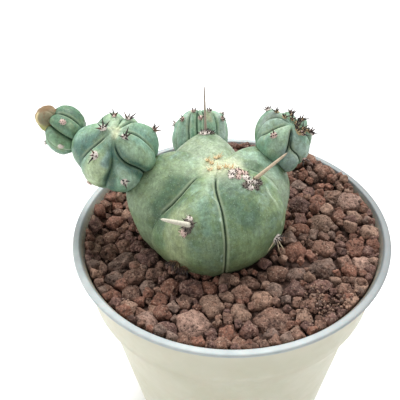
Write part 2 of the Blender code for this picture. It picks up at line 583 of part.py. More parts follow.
def clear_of_stem(x, y, reach):
    """True where a fill stone stays outside the mother stem at grit level."""
    away = math.hypot(x + 3, y)
    left_rib = max(0.0, math.cos(math.atan2(y, -(x + 3))))
    return away > 20.5 + 5.5 * left_rib ** 4 + reach * 0.3


def rise(x, y):
    """How much higher the grit lies at one place than in the middle of the pot."""
    away = math.hypot(x, y)
    along = away * math.cos(math.atan2(y, x) - RIM_BANK_BEARING)
    rim_bank = RIM_BANK * smooth_step((along - RIM_BANK_START) / RIM_BANK_WIDTH)
    stem_bank = STEM_BANK * smooth_step((STEM_BANK_END - math.hypot(x + 3, y)) / STEM_BANK_WIDTH)
    return RISE_RIGHT * x + RISE_BACK * y + float(rim_bank + stem_bank)


def stone_layout():
    """Every stone as (x, y, length, depth, turn, kind) in millimetres: the notable ones, then fill."""
    draw = random.Random(FILL_SEED)
    stones = list(NOTABLE_STONES)
    limit = (COLLAR_TOP_RADIUS - WALL) / MM
    for _ in range(FILL_TRIES):
        size = draw.uniform(3.6, 6.4)
        away = limit * math.sqrt(draw.random())
        bearing = draw.uniform(-math.pi, math.pi)
        depth = size * draw.uniform(0.7, 1.0)
        turn = draw.uniform(-90, 90)
        kind = draw.choice(("brown", "brown", "rust", "plum", "plum", "grey", "tan"))
        x, y = away * math.cos(bearing), away * math.sin(bearing)
        if away > limit - size * 0.42 or not clear_of_stem(x, y, size):
            continue
        near = min(math.hypot(x - s[0], y - s[1]) - 0.36 * (size + (s[2] + s[3]) / 2) for s in stones)
        if near > 0:
            stones.append((x, y, size, depth, turn, kind))
        if len(stones) == len(NOTABLE_STONES) + FILL_STONES:
            break
    return stones


def stone_height(x, y, length, depth, index):
    """Height of a stone and the level of its middle against the rim. Each one is sunk in the bed."""
    draw = random.Random(index)
    height = (0.45 * length + 0.45 * depth) * MM
    by_top = STONE_TOPS + draw.uniform(-1.1, 0.7) * MM - height / 2
    by_bed = height / 2 - BED_DEPTH - STONE_SINK
    return height, min(by_top, by_bed) + rise(x, y) * MM


def stone_mesh(length, depth, height, index):
    """An angular stone: a ball of twelve corners, or eight for fill, its corners moved in and out."""
    draw = random.Random(1000 + index)
    bm = bmesh.new()
    if index < len(NOTABLE_STONES):
        bmesh.ops.create_icosphere(bm, subdivisions=1, radius=0.5)
    else:
        bmesh.ops.create_cube(bm, size=0.68)
    bmesh.ops.rotate(bm, verts=bm.verts, matrix=Euler([draw.uniform(0, 6) for _ in range(3)]).to_matrix())
    for vert in bm.verts:
        vert.co *= draw.uniform(0.86, 1.16)
    across = STONE_SWELL * MM
    bmesh.ops.scale(bm, verts=bm.verts, vec=(length * across, depth * across, height * 1.06))
    return mesh_of("stone", bm)


def inner_radius(height):
    """Inside radius of the pot at a height above the ground, for the stretch that the stones reach."""
    (top_radius, top), (foot_radius, foot) = inside_profile()[:2]
    share = (height - foot) / (top - foot)
    return foot_radius + (top_radius - foot_radius) * min(share, 1.0)


def build_grit(stem):
    """The packed grit: a bed that fills the pot, with the stones of its surface standing out of it."""
    profile = [(0, FLOOR_TOP + GAP)]
    inside = list(inside_profile())
    profile += [(radius - GAP, max(height, FLOOR_TOP + GAP)) for radius, height in reversed(inside[1:])]
    bed = POT_HEIGHT - BED_DEPTH
    lowest = bed + rise(-RIM_RADIUS / MM, -RIM_RADIUS / MM) * MM
    profile += [(inner_radius(lowest) - GAP, bed), (BED_BEND, bed), (0, bed)]
    grit = add_object("lava_grit", turned_mesh("lava_grit", profile, POT_SIDES))
    for vert in grit.data.vertices:
        if vert.co.z > bed - GAP:
            vert.co.z += rise(vert.co.x / MM, vert.co.y / MM) * MM
    stones = bpy.data.collections.new("stones")
    bpy.context.scene.collection.children.link(stones)
    for index, (x, y, length, depth, turn, _) in enumerate(stone_layout()):
        height, middle = stone_height(x, y, length, depth, index)
        mesh = stone_mesh(length, depth, height, index)
        place = Matrix.Translation(rim_point(x, y, middle / MM))
        place = place @ Matrix.Rotation(math.radians(turn), 4, "Z")
        mesh.transform(place)
        for vert in mesh.vertices:
            reach = math.hypot(vert.co.x, vert.co.y)
            limit = inner_radius(vert.co.z) - 2 * GAP
            if reach > limit:
                vert.co.x *= limit / reach
                vert.co.y *= limit / reach
        add_repeat(stones, mesh, Matrix())
    join_repeats(grit, stones)
    cut(grit, head_mesh("hole", stem, STEM_ACROSS, STEM_ROWS, STEM_CLEARANCE))
    keep_largest_piece(grit)
    finish(grit, material("lava", (0.24, 0.13, 0.10), 0.95), 12)


def build_head(name, head, mother, spine_length, spine_radius, colour, across=HEAD_ACROSS, rows=HEAD_ROWS):
    """One young head with its areoles and spines, seated on the head that carries it."""
    made = add_object(name, head_mesh(name, head, across, rows))
    if head.areoles:
        repeats = bpy.data.collections.new(name + "_repeats")
        bpy.context.scene.collection.children.link(repeats)
        dress_areoles(head, repeats, spine_length, spine_radius)
        join_repeats(made, repeats)
    mother_head, mother_across, mother_rows = mother
    cut(made, head_mesh("seat", mother_head, mother_across, mother_rows, STEM_CLEARANCE))
    keep_largest_piece(made)
    finish(made, material(name + "_skin", colour, 0.55))


def build_main_stem(head):
    """The mother stem with its areoles, its short spines and its three long central spines."""
    stem = add_object("main_stem", head_mesh("main_stem", head, STEM_ACROSS, STEM_ROWS))
    repeats = bpy.data.collections.new("stem_repeats")
    bpy.context.scene.collection.children.link(repeats)
    dress_areoles(head, repeats, 1.8 * MM, 0.32 * MM)
    for rib, polar, direction, length, radius in LONG_SPINES:
        thorn = cone_mesh(6, radius * MM, length * MM, LONG_SPINE_ROOT)
        add_repeat(repeats, thorn, pointing(head.seat(rib, polar), direction))
    join_repeats(stem, repeats)
    finish(stem, material("stem_skin", (0.28, 0.42, 0.30), 0.5))


def main():
    for old in list(bpy.data.objects):
        bpy.data.objects.remove(old)
    stem = main_stem_shape()
    left = left_offset_shape()
    far_left = far_left_offset_shape()
    build_pot()
    build_grit(stem)
    build_main_stem(stem)
    on_stem = (stem, STEM_ACROSS, STEM_ROWS)
    on_left = (left, HEAD_ACROSS, HEAD_ROWS)
    on_far_left = (far_left, SMALL_ACROSS, SMALL_ROWS)
    build_head("left_offset", left, on_stem, 2.8 * MM, 0.36 * MM, (0.26, 0.42, 0.33))
    build_head("far_left_offset", far_left, on_left, 1.6 * MM, 0.28 * MM, (0.22, 0.40, 0.26), SMALL_ACROSS,
               SMALL_ROWS)
    build_head("far_left_bud", far_left_bud_shape(), on_far_left, 0, 0, (0.42, 0.33, 0.20), BUD_ACROSS,
               BUD_ROWS)
    build_head("rear_offset", rear_offset_shape(), on_stem, 2.2 * MM, 0.30 * MM, (0.27, 0.43, 0.36),
               SMALL_ACROSS)
    build_head("right_offset", right_offset_shape(), on_stem, 2.4 * MM, 0.32 * MM, (0.25, 0.42, 0.36))


main()
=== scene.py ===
"""The looks of the potted blue myrtle cactus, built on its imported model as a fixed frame.

Lengths are metres, unless a comment says millimetres. Places on the plant and in the grit are given in
millimetres from the middle of the pot's rim, as in the CAD source. -Y is the front.
"""
import math
import random
from itertools import product

import bmesh
import bpy
import numpy as np
from mathutils import Euler, Matrix, Vector


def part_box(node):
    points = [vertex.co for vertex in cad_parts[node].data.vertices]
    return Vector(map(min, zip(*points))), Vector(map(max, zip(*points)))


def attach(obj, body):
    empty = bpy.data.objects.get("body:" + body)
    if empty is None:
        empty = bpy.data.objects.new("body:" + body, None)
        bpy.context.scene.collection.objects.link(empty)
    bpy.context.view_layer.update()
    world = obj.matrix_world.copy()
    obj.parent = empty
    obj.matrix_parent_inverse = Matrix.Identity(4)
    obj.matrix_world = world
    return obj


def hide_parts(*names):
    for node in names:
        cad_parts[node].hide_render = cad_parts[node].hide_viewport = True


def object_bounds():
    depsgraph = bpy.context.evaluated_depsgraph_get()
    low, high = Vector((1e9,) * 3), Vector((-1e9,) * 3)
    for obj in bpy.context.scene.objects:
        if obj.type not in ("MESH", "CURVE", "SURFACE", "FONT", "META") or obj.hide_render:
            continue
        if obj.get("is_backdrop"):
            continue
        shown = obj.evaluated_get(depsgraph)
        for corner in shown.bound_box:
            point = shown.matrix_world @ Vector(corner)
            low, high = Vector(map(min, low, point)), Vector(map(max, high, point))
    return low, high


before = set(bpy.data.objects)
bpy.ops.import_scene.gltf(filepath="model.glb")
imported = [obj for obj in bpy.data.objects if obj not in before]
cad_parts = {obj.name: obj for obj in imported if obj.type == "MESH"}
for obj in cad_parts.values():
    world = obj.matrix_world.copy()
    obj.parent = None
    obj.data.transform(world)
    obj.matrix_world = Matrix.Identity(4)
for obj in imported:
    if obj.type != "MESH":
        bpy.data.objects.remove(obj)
CAD_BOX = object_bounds()

MM = 0.001
POT_LOW, POT_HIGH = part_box("pot")
POT_HEIGHT = POT_HIGH[2]
RIM_RADIUS = (POT_HIGH[1] - POT_LOW[1]) / 2

# Camera, fitted to the rim's ellipse in the photograph: its place from the middle of the rim and its axes
CAMERA_PLACE = (-9.769, -140.781, 126.114)
CAMERA_RIGHT = (0.99940715, -0.02180913, -0.02664038)
CAMERA_UP = (0.03442888, 0.63307901, 0.77332116)
PHOTO_SIDE = 400
FOCAL_PIXELS = 560
SENSOR = 36

# Soft panels (name, place, target, size, power), under an even white sky
PANELS = (
    ("key_panel", (0.1, 0.35, 0.8), (0, 0, 0.09), 0.6, 9),
    ("front_panel", (-0.35, -0.6, 0.22), (0, 0, 0.1), 0.5, 1.3),
    ("left_panel", (-0.6, 0.1, 0.45), (0, 0, 0.1), 0.4, 2.8),
    ("right_panel", (0.6, 0.05, 0.4), (0, 0, 0.1), 0.4, 2))
SKY_STRENGTH = 0.42
FLOOR_HALF = 3.0

# Pot profile, as in the CAD source
WALL = 1.3 * MM
LIP_WIDTH = 2.3 * MM
LIP_HEIGHT = 1.3 * MM
COLLAR_HEIGHT = 19.0 * MM
COLLAR_TOP_RADIUS = RIM_RADIUS - 1.9 * MM
COLLAR_FOOT_RADIUS = COLLAR_TOP_RADIUS - 1.8 * MM
COLLAR_STEP = 2.3 * MM
WALL_TAPER = 0.136
FLOOR_RADIUS = 36.4 * MM
FLOOR_TOP = 3.0 * MM
FOOT_RECESS = 1.5 * MM
FOOT_RING = (17 * MM, 31.5 * MM)
LIP_ROUNDING = 0.6 * MM
SLOT_COUNT = 8
SLOT_SIZE = (8.0 * MM, 3.6 * MM)
SLOT_RADIUS = 24.0 * MM
INNER_LIP_DROP = 0.8 * MM
INNER_STEP_RISE = 1.2 * MM
INNER_POINTS = 6
POT_SIDES = 176

# Grit, as in the CAD source, in millimetres
BED_LIMIT = (COLLAR_TOP_RADIUS - WALL) / MM
BED_RADIUS = 48
BED_GRID = (60, 150)
BED_DEPTH = 5.0
STONE_SINK = 1.0
STONE_TOPS = -1.3
STEM_X = -3
STEM_REACH = 20.5
LEFT_RIB_REACH = 5.5
RISE_RIGHT = 0.045
RISE_BACK = 0.020
RIM_BANK = 2.2
RIM_BANK_BEARING = math.radians(68)
RIM_BANK_START = 26
RIM_BANK_WIDTH = 16
STEM_BANK = 1.2
STEM_BANK_END = 34
STEM_BANK_WIDTH = 10
FILL_STONES = 98
FILL_SIZES = (3.6, 6.4)
FILL_TRIES = 20000
FILL_SEED = 23
STONE_SEED = 1000

# Grit that only the scene has, in millimetres. A drift of crumbs lies at the front right.
# The higher the number of a size's worn edges, the sharper they are
GRIT_SEED = 5
STONE_SWELL = 1.14
STONE_GROWTH = (1.12, 1.3)
LARGE_STONE = 10.5
FRONT_STONES_END = -8
SMALL_STONES = 300
SMALL_TRIES = 12000
SMALL_SEED = 2000
WALL_SEED = 3000
CRUMBS = 700
CRUMB_SEED = 5000
CRUMB_FORMS = 200
WORN_EDGES = {"large": 18, "small": 14, "crumb": 7}
DRIFT_PLACE = (28, -34)
DRIFT_SPREAD = (5, 3.5)

# Stones that the photograph shows: (x, y, length, depth, turn, kind)
NOTABLE_STONES = (
    (-45, 17, 7.5, 5.0, 0, "brown"), (-47, 10, 8.5, 6.0, 0, "rust"), (-40, 8, 6.0, 5.0, 0, "rust"),
    (-36, 12, 4.0, 5.0, 0, "tan"), (-41, 1, 8.0, 4.4, 20, "brown"), (-46, -5, 4.0, 7.0, 0, "tan"),
    (-41, -6, 7.6, 6.0, 25, "brown"), (-36, -4, 5.2, 4.6, 0, "brown"), (-36, -11, 11.5, 6.2, 38, "grey"),
    (-31, -5, 5.0, 4.6, 0, "plum"), (-27, -11, 6.0, 5.0, -20, "plum"), (-44, -13, 6.0, 6.0, 0, "pink"),
    (-38, -18, 6.0, 5.0, 0, "grey"), (-41, -22, 5.0, 4.4, 0, "brown"), (-38, -25, 6.4, 4.8, 0, "rust"),
    (-31, -18, 7.6, 5.2, 25, "brown"), (-32, -24, 6.6, 5.6, 0, "brown"), (-25, -18, 6.4, 5.0, 0, "brown"),
    (-27, -22, 3.8, 5.6, 0, "grey"), (-20, -24, 5.6, 6.0, 0, "rust"), (-13, -25, 7.4, 6.2, 0, "plum"),
    (-8, -25, 6.2, 4.8, -25, "rust"), (-33, -31, 7.6, 5.6, 12, "tan"), (-27, -36, 6.8, 7.0, 0, "pink"),
    (-22, -33, 5.4, 5.0, 0, "rust"), (-21, -39, 7.0, 5.2, 0, "plum"), (-13, -38, 9.4, 12.0, 20, "pink"),
    (-7, -31, 7.8, 7.4, 35, "tan"), (-3, -42, 6.2, 6.0, 0, "rust"), (1, -35, 5.2, 6.6, 10, "tan"),
    (-3, -29, 4.8, 3.8, 0, "tan"), (2, -27, 5.0, 5.6, 0, "brown"), (4, -24, 6.6, 5.2, 0, "brown"),
    (3, -41, 4.6, 6.0, 15, "plum"), (10, -38, 10.4, 10.0, 0, "brown"), (8, -30, 6.6, 6.8, 0, "tan"),
    (12, -27, 5.6, 4.6, 0, "grey"), (13, -21, 6.8, 5.8, 0, "brown"), (20, -12, 7.0, 7.2, 0, "rust"),
    (20, -21, 6.8, 4.8, 0, "grey"), (28, -19, 10.6, 7.2, 0, "grey"), (26, -27, 7.8, 4.8, 0, "plum"),
    (36, -21, 4.0, 5.8, 0, "rust"), (30, -10, 8.4, 7.0, 0, "brown"), (40, -11, 7.8, 6.0, -40, "rust"),
    (41, -19, 8.0, 7.6, 0, "pink"), (46, -5, 6.6, 4.4, -20, "tan"), (33, -29, 6.6, 5.2, 0, "brown"),
    (32, 36, 6.8, 5.6, 0, "tan"), (37, 29, 8.8, 6.4, 0, "brown"), (27, 21, 6.0, 6.2, 0, "grey"),
    (38, 15, 8.4, 5.4, 0, "tan"), (43, 11, 10.4, 8.4, -35, "pink"), (32, 12, 5.8, 5.4, 0, "rust"),
    (25, 10, 8.0, 7.2, 0, "plum"), (32, 2, 8.8, 8.4, 0, "olive"), (43, 3, 4.8, 5.0, 0, "tan"),
    (24, -2, 6.4, 5.8, 0, "rust"))

# Stone colours by kind, as sRGB
STONE_COLOURS = {
    "brown": (118, 90, 77), "rust": (120, 84, 70), "plum": (104, 78, 71), "grey": (118, 98, 88),
    "tan": (140, 112, 96), "pink": (156, 126, 112), "olive": (130, 106, 92)}

# Heads, as in the CAD source: polar angles of the profiles, and the width and ends of the furrows' slits
ANGLES = (0, 25, 50, 70, 90, 115, 150, 180)
SLIT_WIDTH = 0.35 * MM
SLIT_FADE = 14
AREOLE_SPREAD = 9.0
LAST_SPINY_ANGLE = 87
SEAT_CLEARANCE = 0.12 * MM
LIP_SWELL = 0.12 * MM
CROWN_SEED = 31


def mm(*values):
    """Millimetres to metres."""
    return tuple(value * MM for value in values)


def rim_point(x, y, z):
    """Millimetres from the middle of the rim, as a point in metres."""
    return (x * MM, y * MM, z * MM + POT_HEIGHT)


def colour(*values):
    """An sRGB colour of 0 to 255 as Blender's linear one."""
    shares = [value / 255 for value in values]
    return tuple(share / 12.92 if share < 0.04045 else ((share + 0.055) / 1.055) ** 2.4 for share in shares)


def colours(*paints):
    return tuple(colour(*paint) for paint in paints)


# Colours of the spines and the wool
DARK_SPINES = colours((74, 52, 44), (58, 44, 40), (96, 66, 50))
BLACK_SPINES = colours((44, 34, 32), (36, 30, 30), (70, 52, 44))
APEX_SPINES = colours((232, 214, 170), (214, 182, 132), (240, 226, 192))
STRAW = colours((206, 192, 156), (190, 176, 140), (168, 150, 118))
GREYISH_SPINE = colour(72, 60, 50)
WHITE_WOOL, PINK_WOOL, TAN_WOOL, GREY_WOOL, APEX_WOOL, OLD_WOOL = colours(
    (236, 226, 216), (226, 200, 188), (204, 182, 140), (120, 112, 102), (228, 210, 176), (120, 98, 70))


def smooth_step(t):
    t = np.clip(t, 0, 1)
    return t * t * (3 - 2 * t)


def circle(count):
    """Even turns round a circle, in radians."""
    return [2 * math.pi * k / count for k in range(count)]


def lattice(cells, seed):
    """A random value from -1 to 1 for each whole-numbered cell."""
    mixed = cells[..., 0] * 73856093 ^ cells[..., 1] * 19349663 ^ cells[..., 2] * 83492791
    mixed = mixed + seed * 7919 & 0x7FFFFFFF
    mixed = (mixed ^ mixed >> 13) * 1274126177 & 0x7FFFFFFF
    mixed = (mixed ^ mixed >> 15) * 668265263 & 0x7FFFFFFF
    return (mixed >> 7 & 0xFFFF) / 32767.5 - 1


def noise(points, size, seed=0):
    """Smooth noise between -1 and 1 over features of one size."""
    scaled = points / size
    cell = np.floor(scaled).astype(np.int64)
    part = smooth_step(scaled - cell)
    total = np.zeros(points.shape[:-1])
    for corner in product((0, 1), repeat=3):
        weight = np.prod(np.where(corner, part, 1 - part), axis=-1)
        total += weight * lattice(cell + np.array(corner), seed)
    return total


def fractal(points, size, octaves, seed=0):
    """Noise with finer and fainter noise added on it."""
    return sum(noise(points, size / 2 ** k, seed + k) / 1.8 ** k for k in range(octaves))


def pits(points, size, seed=0):
    """Round hollows: 1 in the middle of some cells of one size, and 0 away from them."""
    scaled = points / size
    cell = np.floor(scaled).astype(np.int64)
    nearest = np.full(points.shape[:-1], 9.0)
    for corner in product((-1, 0, 1), repeat=3):
        there = cell + np.array(corner)
        spot = np.stack([lattice(there, seed + axis) for axis in (11, 23, 37)], -1) * 0.5 + 0.5
        away = np.linalg.norm(scaled - there - spot, axis=-1)
        nearest = np.minimum(nearest, np.where(lattice(there, seed + 51) > -0.1, away, 9))
    return smooth_step(1 - nearest / 0.55)


def smooth_curve(values, angle):
    """Smooth curve through one value at each of ANGLES, level at both ends."""
    knots = np.array(ANGLES, float)
    slopes = np.gradient(values, knots)
    slopes[0] = slopes[-1] = 0
    i = np.clip(np.searchsorted(knots, angle, side="right") - 1, 0, len(knots) - 2)
    width = knots[i + 1] - knots[i]
    s = (angle - knots[i]) / width
    start = (1 + 2 * s) * (1 - s) ** 2 * values[i] + s * (1 - s) ** 2 * width * slopes[i]
    end = s * s * (3 - 2 * s) * values[i + 1] + s * s * (s - 1) * width * slopes[i + 1]
    return start + end


def held(values):
    """One azimuth at each of ANGLES: the last or only one given holds on."""
    values = np.atleast_1d(values).astype(float)
    return values[np.minimum(np.arange(len(ANGLES)), len(values) - 1)]


class Head:
    """A ribbed head. Its surface is a radius from one centre, by polar angle from the tip and rib line.

    A rib line is a number u: whole numbers are the crests of the ribs and halves are the furrows.
    A rib is (azimuths, radii, fullness before it, fullness after it) and the furrow after it is
    (azimuths, radii, slit depth, slit's first polar angle, its last one), in degrees and millimetres.
    Azimuths are given at each of ANGLES. Radii are given between its first and last, where all lines
    share the radii called ends. Areoles are (rib line, polar angle, size of wool pad, swelling under it).
    """

    def __init__(self, name, centre, axis, ends, ribs, furrows, areoles):
        self.name = name
        self.centre = np.array(rim_point(*centre))
        tip = Vector(axis).normalized()
        side = Vector((1, 0, 0))
        side = (side - tip * side.dot(tip)).normalized()
        self.turn = np.array((side, tip.cross(side), tip)).T
        self.ribs, self.furrows = (
            [(held(azimuths), np.array((ends[0], *radii, ends[1])) * MM, *rest)
             for azimuths, radii, *rest in lines] for lines in (ribs, furrows))
        self.areoles = areoles

    def _pick(self, u):
        """The crest and the furrow that rib line u lies between, and how far from the crest it is."""
        crest = np.floor(u + 0.5).astype(int)
        after = u >= crest
        furrow = np.where(after, crest, crest - 1)
        count = len(self.ribs)
        return crest % count, furrow % count, np.abs(u - crest) * 2, after

    def _curve(self, lines, column, which, angle):
        """The azimuths or radii of the chosen lines, one line and one angle for each point."""
        curves = np.array([smooth_curve(line[column], angle) for line in lines])
        return curves[(which, *np.indices(which.shape))]

    def _turn_to_furrow(self, u, angle):
        """Azimuth of the crest beside rib line u, and the turn from it to the furrow."""
        crest, furrow, _, after = self._pick(u)
        start = self._curve(self.ribs, 0, crest, angle)
        span = self._curve(self.furrows, 0, furrow, angle) - start
        return start, np.where(after, span % 360, -(-span % 360))

    def azimuth(self, u, angle):
        start, span = self._turn_to_furrow(u, angle)
        return start + span * self._pick(u)[2]

    def rib_line(self, azimuth, angle):
        """The rib line at an azimuth and polar angle: azimuth() the other way round."""
        lines = [smooth_curve(line[0], angle) for pair in zip(self.ribs, self.furrows) for line in pair]
        turned = (azimuth - lines[0]) % 360
        marks = [(line - lines[0]) % 360 for line in lines[1:]] + [np.full(azimuth.shape, 360.0)]
        u = low = np.zeros(azimuth.shape)
        for k, high in enumerate(marks):
            inside = (turned >= low) & (turned < high)
            u = np.where(inside, (k + (turned - low) / np.maximum(high - low, 1e-6)) / 2, u)
            low = high
        return u

    def folds(self, u, angle):
        """Radius without slits and swellings, depth below the crest, and way along the skin to the furrow."""
        crest, furrow, away, after = self._pick(u)
        high = self._curve(self.ribs, 1, crest, angle)
        low = self._curve(self.furrows, 1, furrow, angle)
        fullness = np.array([rib[2:] for rib in self.ribs])[crest, after.astype(int)]
        radius = high + (low - high) * away ** fullness
        span = np.radians(np.abs(self._turn_to_furrow(u, angle)[1]))
        return radius, high - radius, span * (1 - away) * radius * np.sin(np.radians(angle))

    def slit(self, u, angle, gap):
        """Depth of the crack along the bottom of the nearest furrow, a way gap along the skin from it."""
        slits = np.array([line[2:] for line in self.furrows])[self._pick(u)[1]]
        depth, first, last = np.moveaxis(slits, -1, 0)
        open_part = smooth_step((angle - first) / SLIT_FADE) * smooth_step((last - angle) / SLIT_FADE)
        return depth * MM * open_part * np.exp(-gap / SLIT_WIDTH)

    def radius(self, u, angle):
        radius, _, gap = self.folds(u, angle)
        radius = radius - self.slit(u, angle, gap)
        azimuth = self.azimuth(u, angle)
        for rib, polar, _, swelling in self.areoles:
            spot = self.azimuth(np.array([float(rib)]), np.array([float(polar)]))[0]
            across = ((azimuth - spot + 180) % 360 - 180) * np.sin(np.radians(angle))
            near = np.exp(-((angle - polar) ** 2 + across ** 2) / AREOLE_SPREAD ** 2)
            radius = radius + swelling * MM * near
        return radius

    def points(self, u, angle, extra=0.0):
        """Surface points at rib lines u and polar angles, pushed out by extra."""
        u, angle = np.broadcast_arrays(np.asarray(u, float), np.asarray(angle, float))
        radius = self.radius(u, angle) + extra
        polar, azimuth = np.radians(angle), np.radians(self.azimuth(u, angle))
        flat = radius * np.sin(polar)
        local = np.stack((flat * np.cos(azimuth), flat * np.sin(azimuth), radius * np.cos(polar)), -1)
        return self.centre + local @ self.turn.T

    def push_out(self, points, clearance):
        """The points, with those under this head's surface brought out to just above it."""
        local = (points - self.centre) @ self.turn
        away = np.maximum(np.linalg.norm(local, axis=-1), 1e-9)
        polar = np.degrees(np.arccos(np.clip(local[..., 2] / away, -1, 1)))
        azimuth = np.degrees(np.arctan2(local[..., 1], local[..., 0]))
        surface = self.radius(self.rib_line(azimuth, polar), polar) + clearance
        return self.centre + local * np.maximum(surface / away, 1)[..., None] @ self.turn.T

    def seat(self, u, angle):
        """Place on the surface at one point: origin there, Z along its normal, Y towards the tip."""
        around = np.array((u - 0.03, u + 0.03, u, u, u))
        along = np.array((angle, angle, angle - 1.5, angle + 1.5, angle), float)
        left, right, above, below, there = self.points(around, along)
        normal = Vector(np.cross(below - above, right - left)).normalized()
        upward = Vector(above - below)
        upward = (upward - normal * upward.dot(normal)).normalized()
        place = Matrix((upward.cross(normal), upward, normal)).transposed().to_4x4()
        place.translation = Vector(there)
        return place


def main_stem_shape():
    """The five-ribbed mother stem. Ribs: rear, left, front left, front right, right."""
    ribs = (
        (101, (20.6, 27.3, 28.8, 27.5, 24.0, 17.5), 1.4, 1.3),
        ((142, 142, 158, 173, 186, 190), (20.6, 27.4, 32.0, 28.9, 26.2, 17.5), 1.4, 1.4),
        (-117, (20.2, 23.6, 25.0, 24.8, 23.3, 17.5), 1.6, 2.6),
        (-36, (20.2, 22.8, 23.3, 21.9, 20.6, 17.5), 2.4, 1.5),
        ((42, 42, 32, 18, 10, 8), (21.3, 25.6, 24.9, 21.9, 22.0, 17.5), 1.4, 1.4))
    furrows = (
        (137, (19.4, 23.6, 25.5, 24.6, 23.0, 17.5), 0.2, 20, 110),
        ((210, 211, 215, 209, 205, 202), (19.0, 20.9, 22.9, 24.8, 24.9, 17.5), 0.7, 24, 72),
        ((248, 256, 268, 271, 271, 270), (19.2, 21.3, 22.6, 22.7, 21.9, 17.5), 0.9, 16, 122),
        ((-8, -8, -8, -12, -14), (19.3, 20.9, 21.0, 20.4, 20.4, 17.5), 0.1, 20, 110),
        (66, (18.5, 19.5, 20.6, 21.5, 22.0, 17.5), 0.2, 20, 110))
    areoles = (
        (0, 50, 1.6, 0.5), (0, 98, 1.2, 0.3), (2, 62, 1.7, 0.5), (2, 108, 1.1, 0.2), (3, 21, 1.2, 0.3),
        (3, 34, 1.9, 0.5), (2.97, 88, 1.5, 0.4), (4, 100, 1.3, 0.3), (1, 12, 0.7, 0.2), (4, 14, 0.7, 0.2))
    return Head("main_stem", (-3, 0, 6), (0, 0, 1), (18.3, 24), ribs, furrows, areoles)


def left_offset_shape():
    """The seven-ribbed head at the upper end of the left rib.

    Ribs: front right, right, rear right, rear, left, front left, front.
    """
    ribs = (
        ((-30, -24, -15, -17, -20, -22), (12.6, 13.2, 13.4, 13.2, 12.8, 11.6), 3.4, 2.6),
        ((42, 40, 28, 18, 15, 14), (12.4, 13.7, 14.2, 13.9, 13.0, 11.6), 1.7, 1.5),
        (57, (12.4, 12.6, 12.2, 12.0, 12.0, 11.6), 1.8, 1.6),
        (93, (12.6, 12.9, 12.4, 12.0, 12.0, 11.6), 1.8, 1.8),
        ((158, 158, 166, 172, 177, 178), (12.4, 13.4, 14.2, 14.0, 13.0, 11.6), 1.8, 1.4),
        (230, (12.4, 13.1, 13.1, 12.8, 12.2, 11.6), 2.8, 3.0),
        ((264, 269, 277, 283, 286, 288), (10.9, 11.0, 12.9, 13.3, 12.9, 11.6), 1.5, 2.0))
    furrows = (
        ((10, 6, -6, -9, -12, -13), (11.9, 12.1, 12.2, 12.0, 11.9, 11.5), 0.5, 10, 115),
        (46, (11.6, 11.6, 11.2, 11.2, 11.5, 11.5), 0.4, 12, 110),
        (72, (11.4, 10.9, 10.7, 10.9, 11.4, 11.5), 0.3, 12, 110),
        ((125, 125, 130, 134, 136), (11.3, 10.7, 10.6, 10.9, 11.4, 11.5), 0.3, 12, 110),
        ((204, 211, 209, 207, 205), (11.6, 11.7, 11.9, 11.9, 11.9, 11.5), 0.5, 10, 70),
        ((258, 263, 265, 260, 256, 254), (10.9, 10.1, 10.3, 11.1, 11.6, 11.5), 0.1, 30, 110),
        ((270, 277, 295, 313, 322, 326), (10.6, 9.7, 10.2, 11.3, 11.8, 11.5), 0.3, 14, 110))
    areoles = (
        (0, 16, 0.9, 0.4), (1, 62, 0.9, 0.4), (2, 34, 1.0, 0.4), (3, 30, 0.9, 0.4), (4, 17, 1.1, 0.5),
        (5, 42, 1.2, 0.5), (6, 73, 1.1, 0.4), (3, 88, 0.9, 0.3), (5, 100, 0.9, 0.3))
    return Head("left_offset", (-36, 8, 25), (0.10, -0.42, 0.90), (11.9, 11.2), ribs, furrows, areoles)


def far_left_offset_shape():
    """The small head on the outer side of the left one, with a deep crease between its two front lobes."""
    upper = (7.0, 8.3, 8.4, 8.0, 7.2, 6.0)
    lower = (6.4, 7.2, 7.7, 7.8, 7.8, 6.6)
    outer = (6.0, 6.7, 7.3, 7.6, 7.6, 6.6)
    shallow = (6.4, 7.2, 7.3, 7.1, 6.8, 6.0)
    deep = (5.8, 5.6, 5.5, 5.6, 5.8, 5.7)
    ribs = ((-160, outer, 1.7, 1.7), (-107, lower, 1.6, 2.4), (-56, upper, 2.4, 1.8), (5, upper, 1.7, 1.7),
            (65, upper, 1.7, 1.7), (130, outer, 1.7, 1.7))
    furrows = ((-125, shallow, 0.3, 40, 120), (-84, deep, 0.2, 20, 150), (-33, shallow, 0.3, 40, 120),
               (35, shallow, 0.2, 20, 110), (98, deep, 0.2, 20, 110), (166, shallow, 0.2, 20, 110))
    areoles = ((0, 62, 0.7, 0.3), (1, 98, 0.8, 0.3), (2, 76, 0.9, 0.3), (4, 60, 0.8, 0.3), (5, 66, 0.8, 0.3))
    return Head("far_left_offset", (-52.3, 14.6, 29.7), (-0.81, 0.15, 0.57), (5.8, 5.4),
                ribs, furrows, areoles)


def far_left_bud_shape():
    """The tan growing tip of the far left head: a short upright barrel."""
    crest = (4.6, 4.5, 4.0, 3.8, 4.0, 4.7)
    furrow = (4.55, 4.4, 3.9, 3.7, 3.9, 4.6)
    ribs = tuple((azimuth, crest, 1.5, 1.5) for azimuth in range(0, 360, 45))
    furrows = tuple((azimuth + 22.5, furrow, 0.1, 20, 110) for azimuth in range(0, 360, 45))
    return Head("far_left_bud", (-57.2, 15.6, 33.6), (-0.35, -0.20, 0.91), (4.4, 4.9), ribs, furrows, ())


